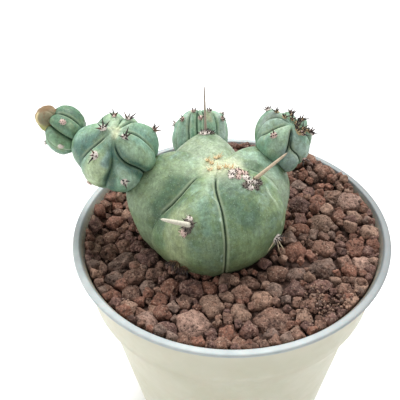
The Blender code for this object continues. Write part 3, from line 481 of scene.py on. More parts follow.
def rear_offset_shape():
    """The barrel-shaped head behind the rear rib, leaning back so that its tip is out of sight in front."""
    crest = (10.8, 11.9, 11.1, 10.5, 10.5, 10.2)
    lean = (10.4, 10.5, 10.3, 10.6, 10.6, 10.2)
    furrow = (9.9, 10.5, 9.9, 9.5, 9.7, 9.8)
    hollow = (9.7, 9.7, 9.5, 9.7, 9.9, 9.8)
    crests = (-127, -105, -89, -66, -38, 12, 66, 122, 178)
    gaps = (-115, -97, -81, -52, -14, 39, 94, 150, 205)
    ribs = tuple((azimuth, lean if azimuth == 178 else crest, 1.5, 1.5) for azimuth in crests)
    furrows = tuple((azimuth, hollow if azimuth > 100 else furrow, 0.3, 20, 110) for azimuth in gaps)
    areoles = tuple((rib, 44 if rib % 2 else 60, 0.9, 0.3) for rib in range(9))
    return Head("rear_offset", (-8.8, 34.3, 12.6), (0.0, 0.62, 0.78), (9.6, 10.0), ribs, furrows, areoles)


def right_offset_shape():
    """The head at the upper end of the right rib, its tip crowded with spines.

    Ribs: front left, front, front right, right, rear right, rear, rear left, left.
    """
    ribs = (
        (-150, (9.6, 10.1, 10.0, 9.7, 9.3, 8.6), 2.6, 3.2),
        ((-97, -96, -90, -80, -78), (7.8, 7.3, 9.7, 10.3, 10.1, 8.8), 2.0, 2.6),
        ((-45, -36, -38, -42, -44), (9.2, 9.5, 9.5, 9.3, 9.0, 8.6), 3.2, 2.0),
        (-6, (9.4, 9.7, 9.3, 8.9, 8.8, 8.6), 1.8, 1.8),
        (38, (9.6, 10.1, 9.6, 9.0, 8.8, 8.6), 1.8, 1.8),
        (84, (9.4, 9.6, 9.2, 8.8, 8.8, 8.6), 1.8, 1.8),
        ((128, 128, 130), (10.0, 11.0, 11.0, 10.5, 9.6, 8.6), 1.8, 2.0),
        ((146, 147, 158, 172, 178, 180), (9.6, 9.9, 9.5, 9.0, 8.8, 8.5), 1.2, 1.4))
    furrows = (
        ((-103, -98, -96, -101, -103), (7.7, 7.1, 8.1, 8.9, 9.0, 8.5), 0.5, 6, 60),
        ((-92, -92, -84, -64, -60), (7.8, 7.3, 8.2, 8.7, 8.9, 8.5), 0.5, 30, 90),
        (-18, (8.7, 8.7, 8.5, 8.3, 8.4, 8.4), 0.2, 10, 100),
        (16, (8.6, 8.4, 8.1, 8.0, 8.3, 8.4), 0.2, 10, 100),
        (60, (8.4, 8.0, 7.9, 8.0, 8.3, 8.4), 0.2, 10, 100),
        (106, (8.5, 8.3, 8.1, 8.1, 8.3, 8.4), 0.2, 10, 100),
        ((138, 139, 152, 166, 174, 176), (8.9, 8.8, 8.8, 8.8, 8.7, 8.5), 0.2, 10, 70),
        ((170, 183, 188, 185, 184), (8.3, 8.2, 8.6, 8.7, 8.6, 8.5), 0.5, 10, 75))
    areoles = (
        (0, 42, 1.0, 0.4), (1.75, 80, 0.8, 0.2), (2, 24, 0.8, 0.3), (3, 44, 0.9, 0.3), (4, 20, 0.7, 0.3),
        (5, 36, 0.8, 0.3), (6, 58, 0.9, 0.3), (4, 88, 0.8, 0.3))
    return Head("right_offset", (17.9, 12.5, 24.3), (0.22, -0.39, 0.89), (8.9, 8.3), ribs, furrows, areoles)


# Patches of colour on the heads, as the photograph shows them: from one (rib line, polar angle) to
# another, half width in millimetres, sRGB colour and strength. Most are the skin's own tones; those
# marked below are painted shade, dark in valleys and creases, and painted highlights, pale along crests
# and furrow edges.
STEM_PATCHES = (
    ((0.1, 2), (3.0, 10), 4.2, (186, 190, 158), 0.8),
    ((4.6, 24), (4.75, 62), 4.5, (152, 168, 142), 0.85),
    ((0.3, 24), (0.3, 62), 4.5, (148, 163, 138), 0.85),
    ((2.02, 22), (2.05, 46), 2.4, (140, 162, 132), 0.6),
    ((1.3, 18), (1.2, 44), 3.2, (140, 160, 122), 0.5),
    ((1.22, 56), (1.3, 98), 5.0, (122, 140, 110), 0.85),
    # Painted shade: a dark band beside the furrow between the left and front left ribs
    ((1.5, 50), (1.62, 74), 1.3, (72, 96, 74), 0.6),
    ((1.82, 62), (1.9, 96), 4.4, (152, 160, 122), 0.55),
    ((2.3, 68), (2.34, 98), 2.6, (112, 134, 108), 0.6),
    ((2.14, 44), (2.26, 64), 1.8, (104, 134, 118), 0.6),
    # Painted highlight: a thin pale line on the front left rib's edge of the front furrow
    ((2.43, 20), (2.455, 92), 0.35, (160, 184, 172), 0.6),
    ((2.62, 20), (2.72, 60), 3.4, (70, 96, 76), 0.62),
    ((2.64, 74), (2.8, 100), 4.0, (120, 142, 104), 0.7),
    # Painted highlight along the front right rib's crest
    ((3.0, 46), (3.0, 80), 0.6, (168, 186, 158), 0.7),
    ((3.5, 46), (3.62, 84), 3.0, (150, 168, 144), 0.75),
    ((3.9, 26), (3.62, 50), 2.2, (140, 170, 148), 0.6),
    # Painted highlight along the left rib's crest
    ((1.02, 40), (1.0, 80), 0.8, (154, 168, 134), 0.6))
LEFT_PATCHES = (
    ((0.0, 2), (3.5, 8), 1.2, (188, 188, 154), 0.8),
    ((3.0, 14), (3.1, 40), 2.2, (170, 190, 158), 0.6),
    ((6.72, 26), (6.84, 62), 2.2, (138, 162, 134), 0.8),
    ((6.05, 52), (6.18, 88), 2.2, (158, 182, 162), 0.8),
    ((5.12, 50), (5.1, 92), 3.2, (172, 188, 148), 0.8),
    ((5.42, 22), (5.34, 46), 1.3, (148, 176, 170), 0.8),
    # Painted shade: the next three are dark bands down the valleys between the front ribs
    ((6.36, 22), (6.44, 86), 2.6, (62, 100, 88), 0.9),
    ((5.52, 44), (5.60, 96), 2.0, (58, 92, 78), 0.85),
    ((4.42, 18), (4.28, 64), 2.6, (72, 106, 94), 0.85),
    ((0.56, 40), (0.62, 84), 2.8, (104, 142, 124), 0.7))
RIGHT_PATCHES = (
    ((6.9, 26), (7.0, 70), 3.2, (142, 162, 146), 0.7),
    ((6.2, 40), (6.5, 58), 1.6, (120, 128, 126), 0.6),
    ((0.1, 20), (0.22, 58), 2.6, (146, 168, 144), 0.75),
    # Painted highlight: a thin pale line beside the furrow between the left and front left ribs
    ((7.62, 20), (7.8, 60), 0.6, (172, 190, 164), 0.6),
    ((0.8, 66), (0.76, 96), 3.0, (136, 152, 148), 0.75),
    ((1.66, 28), (1.76, 74), 2.4, (142, 162, 152), 0.75),
    # Painted shade: a dark line down the furrow between the front left and front ribs
    ((0.5, 12), (0.5, 58), 0.9, (40, 58, 52), 0.85))
REAR_PATCHES = (
    ((0.4, 40), (0.2, 96), 1.6, (140, 160, 148), 0.6),
    ((3.0, 44), (2.9, 60), 1.4, (164, 160, 130), 0.6),
    ((4.0, 50), (3.9, 90), 1.6, (150, 162, 156), 0.6))
FAR_PATCHES = (
    ((2.2, 50), (3.2, 110), 5.0, (76, 108, 82), 0.85),
    # Painted shade: a dark band down a crease
    ((2.5, 56), (2.7, 100), 1.8, (62, 92, 74), 0.7),
    ((2.0, 90), (1.9, 118), 1.0, (150, 172, 140), 0.6),
    ((0.9, 80), (1.1, 116), 3.0, (116, 148, 112), 0.7),
    ((0.6, 96), (0.8, 104), 1.0, (166, 178, 120), 0.7))
BUD_PATCHES = (
    ((6.5, 46), (6.9, 58), 3.0, (116, 111, 84), 1.0),
    ((0.0, 14), (1.2, 34), 1.6, (112, 86, 54), 0.9),
    ((5.2, 24), (5.4, 64), 0.9, (206, 190, 142), 0.8),
    ((5.6, 84), (6.2, 98), 1.6, (146, 148, 80), 0.9),
    ((6.9, 92), (7.1, 98), 0.8, (204, 150, 92), 0.85))


class Shader:
    """A Principled material, built coat by coat on its mesh's own tone. Sizes are millimetres."""

    def __init__(self, name, **values):
        self.material = bpy.data.materials.new(name)
        self.material.use_nodes = True
        self.tree = self.material.node_tree
        self.base = self.tree.nodes["Principled BSDF"]
        self.place = self.node("TexCoord", {}, "Object")
        self.tint = "tone"
        for key, value in values.items():
            self.base.inputs[key.replace("_", " ")].default_value = value

    def node(self, kind, sockets, output=0, **settings):
        """One output of a new node, with these sources in its sockets."""
        made = self.tree.nodes.new("ShaderNode" + kind)
        for key, value in settings.items():
            setattr(made, key, value)
        for key, source in sockets.items():
            self.link(source, made.inputs[key])
        return made.outputs[output]

    def link(self, source, target):
        """Put a node's output, a mesh attribute by its name, an sRGB colour or a value into a socket."""
        if isinstance(source, str):
            output = "Color" if target.type == "RGBA" else "Fac"
            source = self.node("Attribute", {}, output, attribute_name=source)
        if isinstance(source, bpy.types.NodeSocket):
            self.tree.links.new(source, target)
        else:
            target.default_value = (*colour(*source), 1) if target.type == "RGBA" else source

    def noise(self, size, detail=3.0, roughness=0.55, distortion=0.0, flatten=None):
        """Noise with features of one size, drawn out upward where it is flattened."""
        place = self.place
        if flatten is not None:
            place = self.node("VectorMath", {0: place, 1: (1.0, 1.0, flatten)}, operation="MULTIPLY")
        return self.node("TexNoise", {"Vector": place, "Scale": 1 / (size * MM), "Detail": detail,
                                      "Roughness": roughness, "Distortion": distortion})

    def cells(self, size):
        """Distance from the middle of the nearest cell of one size."""
        return self.node("TexVoronoi", {"Vector": self.place, "Scale": 1 / (size * MM)})

    def spread(self, value, low, high, to_low=0.0, to_high=1.0):
        """The value, taken from one range to another and kept inside it."""
        return self.node("MapRange", dict(enumerate((value, low, high, to_low, to_high))))

    def clouds(self, ranges, *settings):
        """Noise with these settings, taken from one range to another."""
        return self.spread(self.noise(*settings), *ranges)

    def times(self, first, second):
        return self.node("Math", {0: first, 1: second}, operation="MULTIPLY")

    def mix(self, share, first, second, blend="MIX"):
        return self.node("Mix", {0: share, 6: first, 7: second}, 2, data_type="RGBA", blend_type=blend)

    def coat(self, share, paint):
        """Paint over the tint so far, as thick as share."""
        self.tint = self.mix(share, self.tint, paint)

    def shade(self, factor):
        """Make the tint so far lighter or darker."""
        self.tint = self.mix(1.0, self.tint, factor, "MULTIPLY")

    def bump(self, height, distance, strength=1.0, under=None):
        below = {} if under is None else {"Normal": under}
        return self.node("Bump", {"Height": height, "Distance": distance * MM, "Strength": strength, **below})

    def finish(self, **links):
        for key, value in {"Base_Color": self.tint, **links}.items():
            self.link(value, self.base.inputs[key.replace("_", " ")])
        return self.material


def skin_material(name, dark, light, bloom, deep, pale):
    """Waxy cactus skin: mottled green under a blue-grey bloom, with a pale tip, and painted shade in its
    folds.
    """
    skin = Shader(name, Roughness=0.5, Subsurface_Weight=0.05, Subsurface_Scale=1.0 * MM,
                  Subsurface_Radius=(0.5, 1.0, 0.35), Specular_IOR_Level=0.35)
    skin.tint = skin.mix(skin.clouds((0.36, 0.64), 7, 4), dark, light)
    haze = skin.clouds((0.45, 0.66), 3.6, 6, 0.68, 0.6)
    skin.coat(skin.times(haze, skin.spread("bloom", 0, 1, 0.15, 0.85)), bloom)
    # Painted shade in the folds, the deeper below the crest the darker, with some of the skin's own deeper
    # green there
    skin.coat(skin.spread("valley", 0.2, 0.9, 0.0, 0.85), deep)
    skin.coat("patch", "tone")
    skin.coat(skin.times("tip", 0.6), pale)
    skin.shade(skin.clouds((0.44, 0.68, 1.14, 0.76), 2.4, 6, 0.72, 0.5))
    skin.coat(skin.clouds((0.5, 0.64, 0.0, 0.35), 3.1, 5, 0.7, 0.3), (110, 122, 72))
    skin.shade(skin.clouds((0.36, 0.66, 0.76, 1.22), 1.0, 5, 0.75, 0.2, 0.3))
    skin.shade(skin.clouds((0.34, 0.68, 0.84, 1.16), 0.5, 4, 0.8))
    # Painted highlight on the furrows' raised lips
    skin.coat(skin.times("lip", 0.35), pale)
    # Painted shade in the furrows' slits
    skin.coat(skin.times("furrow", 0.85), (38, 56, 48))
    skin.coat(skin.times("foot", 0.5), (84, 84, 56))
    skin.coat(skin.spread(skin.cells(0.75), 0.12, 0.2, 0.3, 0.0), (182, 200, 182))
    fine = skin.bump(skin.noise(0.45, 4, 0.6), 0.05, 0.5)
    broad = skin.bump(skin.noise(1.8, 3), 0.12, 0.5, fine)
    return skin.finish(Roughness=skin.clouds((0.3, 0.7, 0.42, 0.6), 2.5, 4), Normal=broad)


def bud_material():
    """Tan woolly growing tip, brown at its top and yellow green towards its foot."""
    bud = Shader("bud_skin", Roughness=0.7, Subsurface_Weight=0.08, Subsurface_Scale=1 * MM)
    bud.tint = bud.mix(bud.clouds((0.35, 0.65), 1.6, 4), (124, 118, 96), (146, 138, 114))
    low = bud.mix(bud.clouds((0.4, 0.6), 2, 3), (134, 140, 70), (168, 160, 92))
    bud.coat(bud.spread("height", 0.2, 0.5, 1.0, 0.0), low)
    bud.coat(bud.spread("height", 0.62, 0.85, 0.0, 0.8), (134, 108, 76))
    bud.coat("patch", "tone")
    bud.coat(bud.times(bud.spread(bud.cells(1.5), 0.2, 0.35, 1.0, 0.0), 0.5), (104, 74, 46))
    return bud.finish(Normal=bud.bump(bud.noise(0.5, 5, 0.65), 0.12, 0.8))


def stone_material():
    """Porous lava stone, coloured stone by stone, dusted with pale grains, with painted shade in pores and
    pits.
    """
    stone = Shader("lava_stone", Roughness=0.9, Specular_IOR_Level=0.25)
    stone.shade(stone.clouds((0.32, 0.68, 0.5, 1.5), 1.5, 6, 0.75))
    stone.coat(stone.clouds((0.52, 0.68, 0.0, 0.35), 2.7, 3), (116, 76, 58))
    stone.coat(stone.clouds((0.54, 0.68, 0.0, 0.7), 0.6, 4, 0.7), (186, 160, 140))
    # Painted shade: dark spots for pores
    stone.coat(stone.spread(stone.cells(0.8), 0.1, 0.38, 0.85, 0.0), (44, 30, 26))
    # Painted shade in the pits
    stone.coat(stone.times("hollow", 0.85), (40, 28, 25))
    grain = stone.bump(stone.noise(0.35, 4, 0.7), 0.16, 0.9)
    return stone.finish(Normal=stone.bump(stone.spread(stone.cells(0.7), 0.08, 0.4), 0.22, 0.9, grain))


def bed_material():
    """Fine grit between the stones: its own dark colour, darkened further as painted shade of the gaps."""
    bed = Shader("fine_grit", Roughness=0.95)
    bed.tint = bed.mix(bed.clouds((0.35, 0.7), 0.9, 5, 0.7), (46, 32, 27), (96, 70, 58))
    return bed.finish(Normal=bed.bump(bed.noise(0.6, 5, 0.75), 0.4))


def pot_material():
    """Moulded cream-grey nursery plastic with a faint grain and dust inside; painted shade on lip and inner
    wall.
    """
    pot = Shader("pot_plastic", Roughness=0.42, Subsurface_Weight=0.12, Subsurface_Scale=2.0 * MM,
                 Specular_IOR_Level=0.4)
    pot.tint = pot.mix(pot.clouds((0.4, 0.6), 22, 3), (180, 178, 157), (186, 184, 165))
    # Painted shade: the lip is painted grey-blue, and darker still on its right side
    lip = pot.mix(pot.clouds((0.35, 0.65), 5, 4), (152, 160, 161), (166, 173, 172))
    right = pot.spread(pot.node("SeparateXYZ", {0: pot.place}), 15 * MM, 45 * MM, 0.0, 0.8)
    pot.coat("lip", pot.mix(right, lip, (112, 117, 118)))
    grime = pot.times("inside", pot.clouds((0.4, 0.65), 1.5, 5, 0.7))
    # Painted shade on the inner wall
    pot.coat(pot.times("inside", 0.5), (150, 140, 128))
    pot.coat(pot.times(grime, 0.6), (110, 90, 78))
    grain = pot.bump(pot.noise(0.8, 3), 0.03, 0.4)
    return pot.finish(Roughness=pot.clouds((0.3, 0.7, 0.38, 0.52), 3, 4), Normal=grain)


def spine_material():
    """Hard dry spine, coloured spine by spine, dark at its foot and its tip."""
    spine = Shader("spine", Roughness=0.5)
    spine.shade(spine.clouds((0.3, 0.7, 0.8, 1.15), 0.5, 3))
    spine.coat(spine.times("ends", 0.75), (46, 36, 32))
    return spine.finish(Normal=spine.bump(spine.noise(0.2, 3), 0.04, 0.6))


def wool_material():
    """Short off-white wool, its colour set tuft by tuft."""
    wool = Shader("areole_wool", Roughness=0.95)
    wool.shade(wool.clouds((0.3, 0.7, 0.75, 1.1), 0.3, 3))
    return wool.finish()


def new_object(name, data):
    made = bpy.data.objects.new(name, data)
    bpy.context.scene.collection.objects.link(made)
    return made


class Builder:
    """Collects points, faces and per-point values of many small shapes into one mesh."""

    def __init__(self):
        self.points = []
        self.faces = []
        self.values = {}
        self.count = 0

    def add(self, points, faces, **values):
        """One more shape. A value is one for all its points or one for each, and a tone is a colour."""
        self.points.append(np.array(points, float))
        self.faces += [[i + self.count for i in face] for face in faces]
        for key, value in values.items():
            shape = (len(points), 3) if key == "tone" else (len(points),)
            self.values.setdefault(key, []).append(np.broadcast_to(value, shape))
        self.count += len(points)

    def make(self, name, material, slot, *nodes):
        """The finished piece: it rides on the object's one body and stands for the named CAD nodes."""
        mesh = bpy.data.meshes.new(name)
        mesh.from_pydata(np.concatenate(self.points).tolist(), [], self.faces)
        for key, parts in self.values.items():
            value, kind, field = np.concatenate(parts).astype(float), "FLOAT", "value"
            if key == "tone":
                value, kind, field = np.hstack((value, np.ones((len(value), 1)))), "FLOAT_COLOR", "color"
            mesh.attributes.new(key, kind, "POINT").data.foreach_set(field, value.ravel())
        mesh.materials.append(material)
        mesh.shade_smooth()
        piece = new_object(name, mesh)
        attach(piece, "root")
        if nodes:
            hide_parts(*nodes)
        return piece


def ring_faces(rows, columns):
    """Faces of a closed surface of rings, with a point at each end after the grid."""
    top, bottom = rows * columns, rows * columns + 1
    faces = []
    for j in range(columns):
        k = (j + 1) % columns
        faces.append((top, j, k))
        faces.append((bottom, (rows - 1) * columns + k, (rows - 1) * columns + j))
        for i in range(rows - 1):
            faces.append((i * columns + j, (i + 1) * columns + j, (i + 1) * columns + k, i * columns + k))
    return faces


def fine_lines(head, per_half):
    """Rib lines right round a head, closer together towards the furrows."""
    half = (1 - (1 - np.linspace(0, 1, per_half + 1)) ** 1.5) / 2
    lines = []
    for rib in range(len(head.ribs)):
        lines += [rib + part for part in half]
        lines += [rib + 1 - part for part in half[-2:0:-1]]
    return np.array(lines)


def warped(points, amount, size):
    """Points moved about by noise, so that what is laid out from them has uneven edges."""
    return points + amount * np.stack([noise(points, size, seed) for seed in (41, 42, 43)], -1)


def patch_share(head, points, start, end, half_width):
    """How far each point lies inside a patch: a strip between two places of a head, with soft edges."""
    steps = np.linspace(0, 1, 9)
    line = head.points(*(low + (high - low) * steps for low, high in zip(start, end)))
    nearest = np.full(len(points), 9.0)
    for first, second in zip(line, line[1:]):
        way = second - first
        along = np.clip((points - first) @ way / max(way @ way, 1e-12), 0, 1)
        nearest = np.minimum(nearest, np.linalg.norm(points - first - along[:, None] * way, axis=1))
    return smooth_step(1.5 - nearest / (half_width * MM))


def painted(head, points, patches):
    """The colour of a head's patches at each point, and how thick it lies."""
    tone, share = np.zeros((len(points), 3)), np.zeros(len(points))
    for start, end, half_width, paint, strength in patches:
        inside = strength * patch_share(head, points, start, end, half_width)
        tone += (np.array(colour(*paint)) - tone) * inside[:, None]
        share = share + (1 - share) * inside
    return tone / np.maximum(share, 1e-3)[:, None], share


def fine_head(head, patches, material, slot, per_half, rows, last, relief, pale_tip, mother=None):
    """A head's skin: the CAD's surface with lumps and furrow lips, painted and seated on its mother."""
    lines = fine_lines(head, per_half)
    polar = np.concatenate((np.linspace(2, last, rows), np.linspace(last + 6, 174, 6)))
    u, angle = np.meshgrid(lines, polar)
    u, angle = np.append(u.ravel(), (0.0, 0.0)), np.append(angle.ravel(), (0.0, 180.0))
    _, depth, gap = head.folds(u, angle)
    plain = head.points(u, angle)
    lumps = relief * MM * (noise(plain, 7 * MM, 3) + 0.5 * noise(plain, 2.8 * MM, 5))
    wrinkles = 0.05 * MM * fractal(plain, 1.1 * MM, 2, 9) * (1 + 2 * smooth_step((angle - 85) / 30))
    open_slit = np.clip(head.slit(u, angle, 0 * gap) / (0.4 * MM), 0, 1)
    lip = open_slit * np.exp(-((gap - 0.6 * MM) / (0.3 * MM)) ** 2)
    extra = (lumps + wrinkles) * smooth_step((angle - 6) / 20) + LIP_SWELL * lip
    points = head.points(u, angle, extra)
    if mother is not None:
        points = mother.push_out(points, SEAT_CLEARANCE)
    tone, share = painted(head, warped(plain, 1.1 * MM, 3.2 * MM), patches)
    height = points[:, 2]
    builder = Builder()
    # Of these values, lip marks the painted highlight on the furrows' lips, furrow the painted shade in the
    # slits, and the depth below the crest the painted shade in the folds
    builder.add(
        points, ring_faces(len(polar), len(lines)), lip=lip, tone=tone, patch=share,
        furrow=open_slit * np.exp(-(gap / (0.18 * MM)) ** 2), valley=np.clip(depth / (2.5 * MM), 0, 2),
        tip=pale_tip * smooth_step(1 - angle / 34), bloom=smooth_step((105 - angle) / 70),
        foot=smooth_step((POT_HEIGHT + 6 * MM - height) / (7 * MM)),
        height=(height - height.min()) / (height.max() - height.min()))
    builder.make(head.name, material, slot, head.name)


def strand(builder, direction, start, rings, end, sides, **values):
    """A slender closed body: a point, rings of (middle, radius) across its direction, and a point."""
    side = direction.orthogonal().normalized()
    cross = direction.cross(side)
    points = [middle + (side * math.cos(turn) + cross * math.sin(turn)) * width
              for middle, width in rings for turn in circle(sides)]
    builder.add(points + [start, end], ring_faces(len(rings), sides), **values)


class Dressing:
    """The wool and the spines on one head. Sizes are millimetres."""

    def __init__(self, head, seed):
        self.head = head
        self.draw = random.Random(seed)
        self.wool, self.spines = Builder(), Builder()

    def finish(self, wool_look, spine_look):
        self.wool.make(self.head.name + "_wool", wool_look, "wool")
        self.spines.make(self.head.name + "_spines", spine_look, "spine")

    def spine(self, base, direction, length, radius, tone, ends=1.0, bend=0.0, sides=8, steps=7, blunt=0.85):
        """A tapering spine with a swollen foot, sunk a little. The lower blunt, the later it narrows."""
        length, radius = mm(length, radius)
        direction = Vector(direction).normalized()
        aside = direction.cross(direction.orthogonal().normalized()) * (bend * length)
        shares = np.linspace(0, 1, steps)
        rings = [(base + direction * (length * t - radius) + aside * (t * t),
                  radius * (1 - t) ** blunt * (1 + 0.35 * math.exp(-(t / 0.07) ** 2)) + 0.02 * MM)
                 for t in shares.tolist()]
        share = np.append(np.repeat(shares, sides), (0, 1))
        dark = ends * np.maximum(np.exp(-(share / 0.12) ** 2), smooth_step((share - 0.6) / 0.35) * 0.8)
        strand(self.spines, direction, base - direction * radius, rings,
               base + direction * (length + 0.03 * MM) + aside, sides, tone=tone, ends=dark)

    def long_spine(self, rib, polar, direction, length, radius, paint, ends, blunt=0.35):
        """One of the stem's long central spines, as the CAD places it."""
        self.spine(self.head.seat(rib, polar).translation, direction, length, radius, colour(*paint), ends,
                   sides=12, steps=14, blunt=blunt)

    def stubs(self, rib, polar, directions, radius, tone):
        """Spines of set length in set directions, from one foot."""
        foot = self.head.seat(rib, polar).translation
        for *direction, length in directions:
            self.spine(foot, direction, length, radius, tone, 0.3)

    def hair(self, base, direction, length, droop, tone):
        """A fine tapering hair of three sides, curled sideways."""
        direction = direction.normalized()
        rings = [(base + direction * (length * t) + droop * (length * t * t), 0.045 * MM * (1 - 0.6 * t))
                 for t in (0, 1 / 3, 2 / 3)]
        strand(self.wool, direction, base, rings, base + direction * length + droop * length, 3, tone=tone)

    def tuft(self, place, radius, tone, hairs):
        """A low uneven dome of wool with short curled hairs standing out of it."""
        draw = self.draw
        rows, columns = 5, 12
        points = []
        for polar in np.radians(np.linspace(12, 92, rows)):
            for turn in circle(columns):
                flat = math.sin(polar)
                spot = Vector((flat * math.cos(turn), flat * math.sin(turn) * 1.15, math.cos(polar) * 0.5))
                points.append(place @ (spot * (radius * draw.uniform(0.72, 0.95))))
        points += [place @ Vector((0, 0, radius * 0.45)), place @ Vector((0, 0, -radius * 0.3))]
        self.wool.add(points, ring_faces(rows, columns), tone=np.array(tone) * 0.8)
        turn_only = place.to_3x3()
        for _ in range(hairs):
            turn = draw.uniform(0, 2 * math.pi)
            out = math.sqrt(draw.random())
            flat = Vector((math.cos(turn), math.sin(turn) * 1.15, 0)) * out
            base = place @ (flat * radius * 0.8 + Vector((0, 0, radius * 0.25 * (1 - out))))
            direction = turn_only @ (flat * 0.9 + Vector((0, 0, draw.uniform(0.4, 1.1))))
            droop = turn_only @ Vector([draw.uniform(-0.5, 0.5) for _ in range(3)])
            shade = draw.uniform(0.8, 1.15)
            self.hair(base, direction, radius * draw.uniform(0.35, 0.75), droop, np.array(tone) * shade)

    def areole(self, rib, polar, pad, tones, count, length, radius, wool_tone, hairs=46):
        """A tuft with its spines: one near the middle, the others leaning out around it."""
        draw = self.draw
        place = self.head.seat(rib, polar)
        self.tuft(place, pad * MM, wool_tone, hairs)
        turn_only = place.to_3x3()
        start = draw.uniform(0, 2 * math.pi)
        for k in range(count):
            turn = start + 2 * math.pi * k / count + draw.uniform(-0.3, 0.3)
            lean = draw.uniform(0.55, 1.1) if k else 0.25
            flat = Vector((math.cos(turn), math.sin(turn), 0))
            direction = turn_only @ (flat * lean + Vector((0, 0, 1)))
            base = place @ (flat * pad * MM * (0.45 if k else 0.1) + Vector((0, 0, 0.1 * MM)))
            size = length * draw.uniform(0.6, 1.15)
            self.spine(base, direction, size, radius * draw.uniform(0.8, 1.1), draw.choice(tones),
                       bend=draw.uniform(-0.12, 0.12))

    def areoles(self, spots, *settings):
        """Alike areoles at several places."""
        for rib, polar in spots:
            self.areole(rib, polar, *settings)

    def cluster(self, spots, length, wool_tones):
        """A large areole: several tufts run together, with dark stubs between them."""
        for rib, polar in spots:
            pad = 1.2 * self.draw.uniform(0.85, 1.15)
            self.areole(rib, polar, pad, BLACK_SPINES, 4, length, 0.27, self.draw.choice(wool_tones), 60)


def dress_stem(dress):
    """The mother stem's areoles, each as the photograph shows it, and its three long central spines."""
    dress.areole(0, 50, 1.3, BLACK_SPINES, 8, 1.3, 0.34, GREY_WOOL, 40)
    dress.cluster(((0.07, 47), (0.04, 44.5), (0, 44), (-0.04, 44.5), (-0.07, 46.5)), 1.9,
                  (WHITE_WOOL, GREY_WOOL))
    dress.long_spine(0, 50, (0.0, 0.45, 0.89), 16, 0.42, (150, 136, 120), 0.5)
    dress.areole(2, 62, 1.7, BLACK_SPINES, 9, 1.4, 0.36, GREY_WOOL, 60)
    dress.cluster(((1.98, 59), (1.95, 61), (1.95, 64), (2.0, 65.5)), 1.7, (WHITE_WOOL, GREY_WOOL))
    dress.areole(1.95, 68.5, 1.4, DARK_SPINES, 5, 1.5, 0.24, PINK_WOOL, 60)
    dress.long_spine(2, 62, (-0.58, -0.50, 0.64), 14, 0.82, (206, 202, 184), 0.0)
    dress.stubs(2, 62, ((-0.9, -0.3, 0.1, 2), (0.3, -0.6, 0.6, 2), (0.8, 0.1, 0.4, 2), (0.1, 0.5, 0.7, 2),
                        (-0.3, -0.8, 0.1, 2)), 0.5, BLACK_SPINES[0])
    dress.spine(dress.head.seat(2, 62).translation, (0.75, -0.2, 0.5), 3.4, 0.42, GREYISH_SPINE, 0.9)
    dress.cluster(((2.92, 33), (2.97, 36), (2.88, 37), (2.93, 40), (3.01, 38), (2.86, 34)), 2.0,
                  (WHITE_WOOL, WHITE_WOOL, GREY_WOOL))
    dress.long_spine(3, 34, (0.64, -0.12, 0.75), 14.5, 0.6, (190, 172, 146), 0.2, 0.3)
    dress.cluster(((2.9, 16), (3.05, 18), (2.8, 20), (2.98, 21.5), (2.88, 24), (3.02, 25), (2.95, 28.5)), 1.6,
                  (WHITE_WOOL, PINK_WOOL))
    dress.areole(2.93, 87, 1.8, STRAW + BLACK_SPINES, 12, 2.8, 0.28, WHITE_WOOL, 75)
    dress.stubs(2.93, 87, ((-0.55, -0.5, -0.62, 5.5), (0.35, -0.45, -0.35, 4.5), (0.2, -0.5, -0.75, 4.5)),
                0.34, STRAW[0])
    dress.areole(4, 100, 1.3, STRAW, 4, 2.4, 0.25, TAN_WOOL)
    dress.areole(0, 98, 1.2, STRAW, 4, 2.0, 0.25, TAN_WOOL)
    dress.areoles(((1.88, 99), (1.96, 102), (1.82, 102), (1.9, 105)), 1.4,
                  BLACK_SPINES + DARK_SPINES + STRAW[2:], 14, 2.6, 0.20, OLD_WOOL, 70)
    dress.areoles(((1.12, 9), (1.05, 14), (4.9, 13), (0.1, 12), (3.02, 6), (3.05, 12), (2.2, 5), (1.5, 12)),
                  0.7, APEX_SPINES, 8, 2.1, 0.14, APEX_WOOL, 30)


def dress_young(dress, length, radius):
    """The areoles of a young head: pale wool with a few stout dark spines."""
    for rib, polar, pad, _ in dress.head.areoles:
        count = 0 if polar > LAST_SPINY_ANGLE else dress.draw.choice((4, 5, 6))
        wool_tone = PINK_WOOL if dress.draw.random() < 0.4 else WHITE_WOOL
        dress.areole(rib, polar, pad * 1.15, DARK_SPINES + BLACK_SPINES, count, length, radius, wool_tone, 50)


def dress_crown(dress):
    """The crowd of dark spines on the right head's tip."""
    dress.draw = random.Random(CROWN_SEED)
    dress.areoles(((2, 14), (3, 10), (4, 12), (5, 16), (6, 22), (3, 24), (4, 32), (5, 28), (3, 38), (6, 40)),
                  0.8, BLACK_SPINES, 5, 2.6, 0.25, TAN_WOOL, 30)
    dress.areoles(((1.9, 20), (2.05, 25), (2.3, 27), (2.7, 27), (3.0, 30)), 0.9, BLACK_SPINES, 1, 1.2, 0.22,
                  TAN_WOOL, 40)


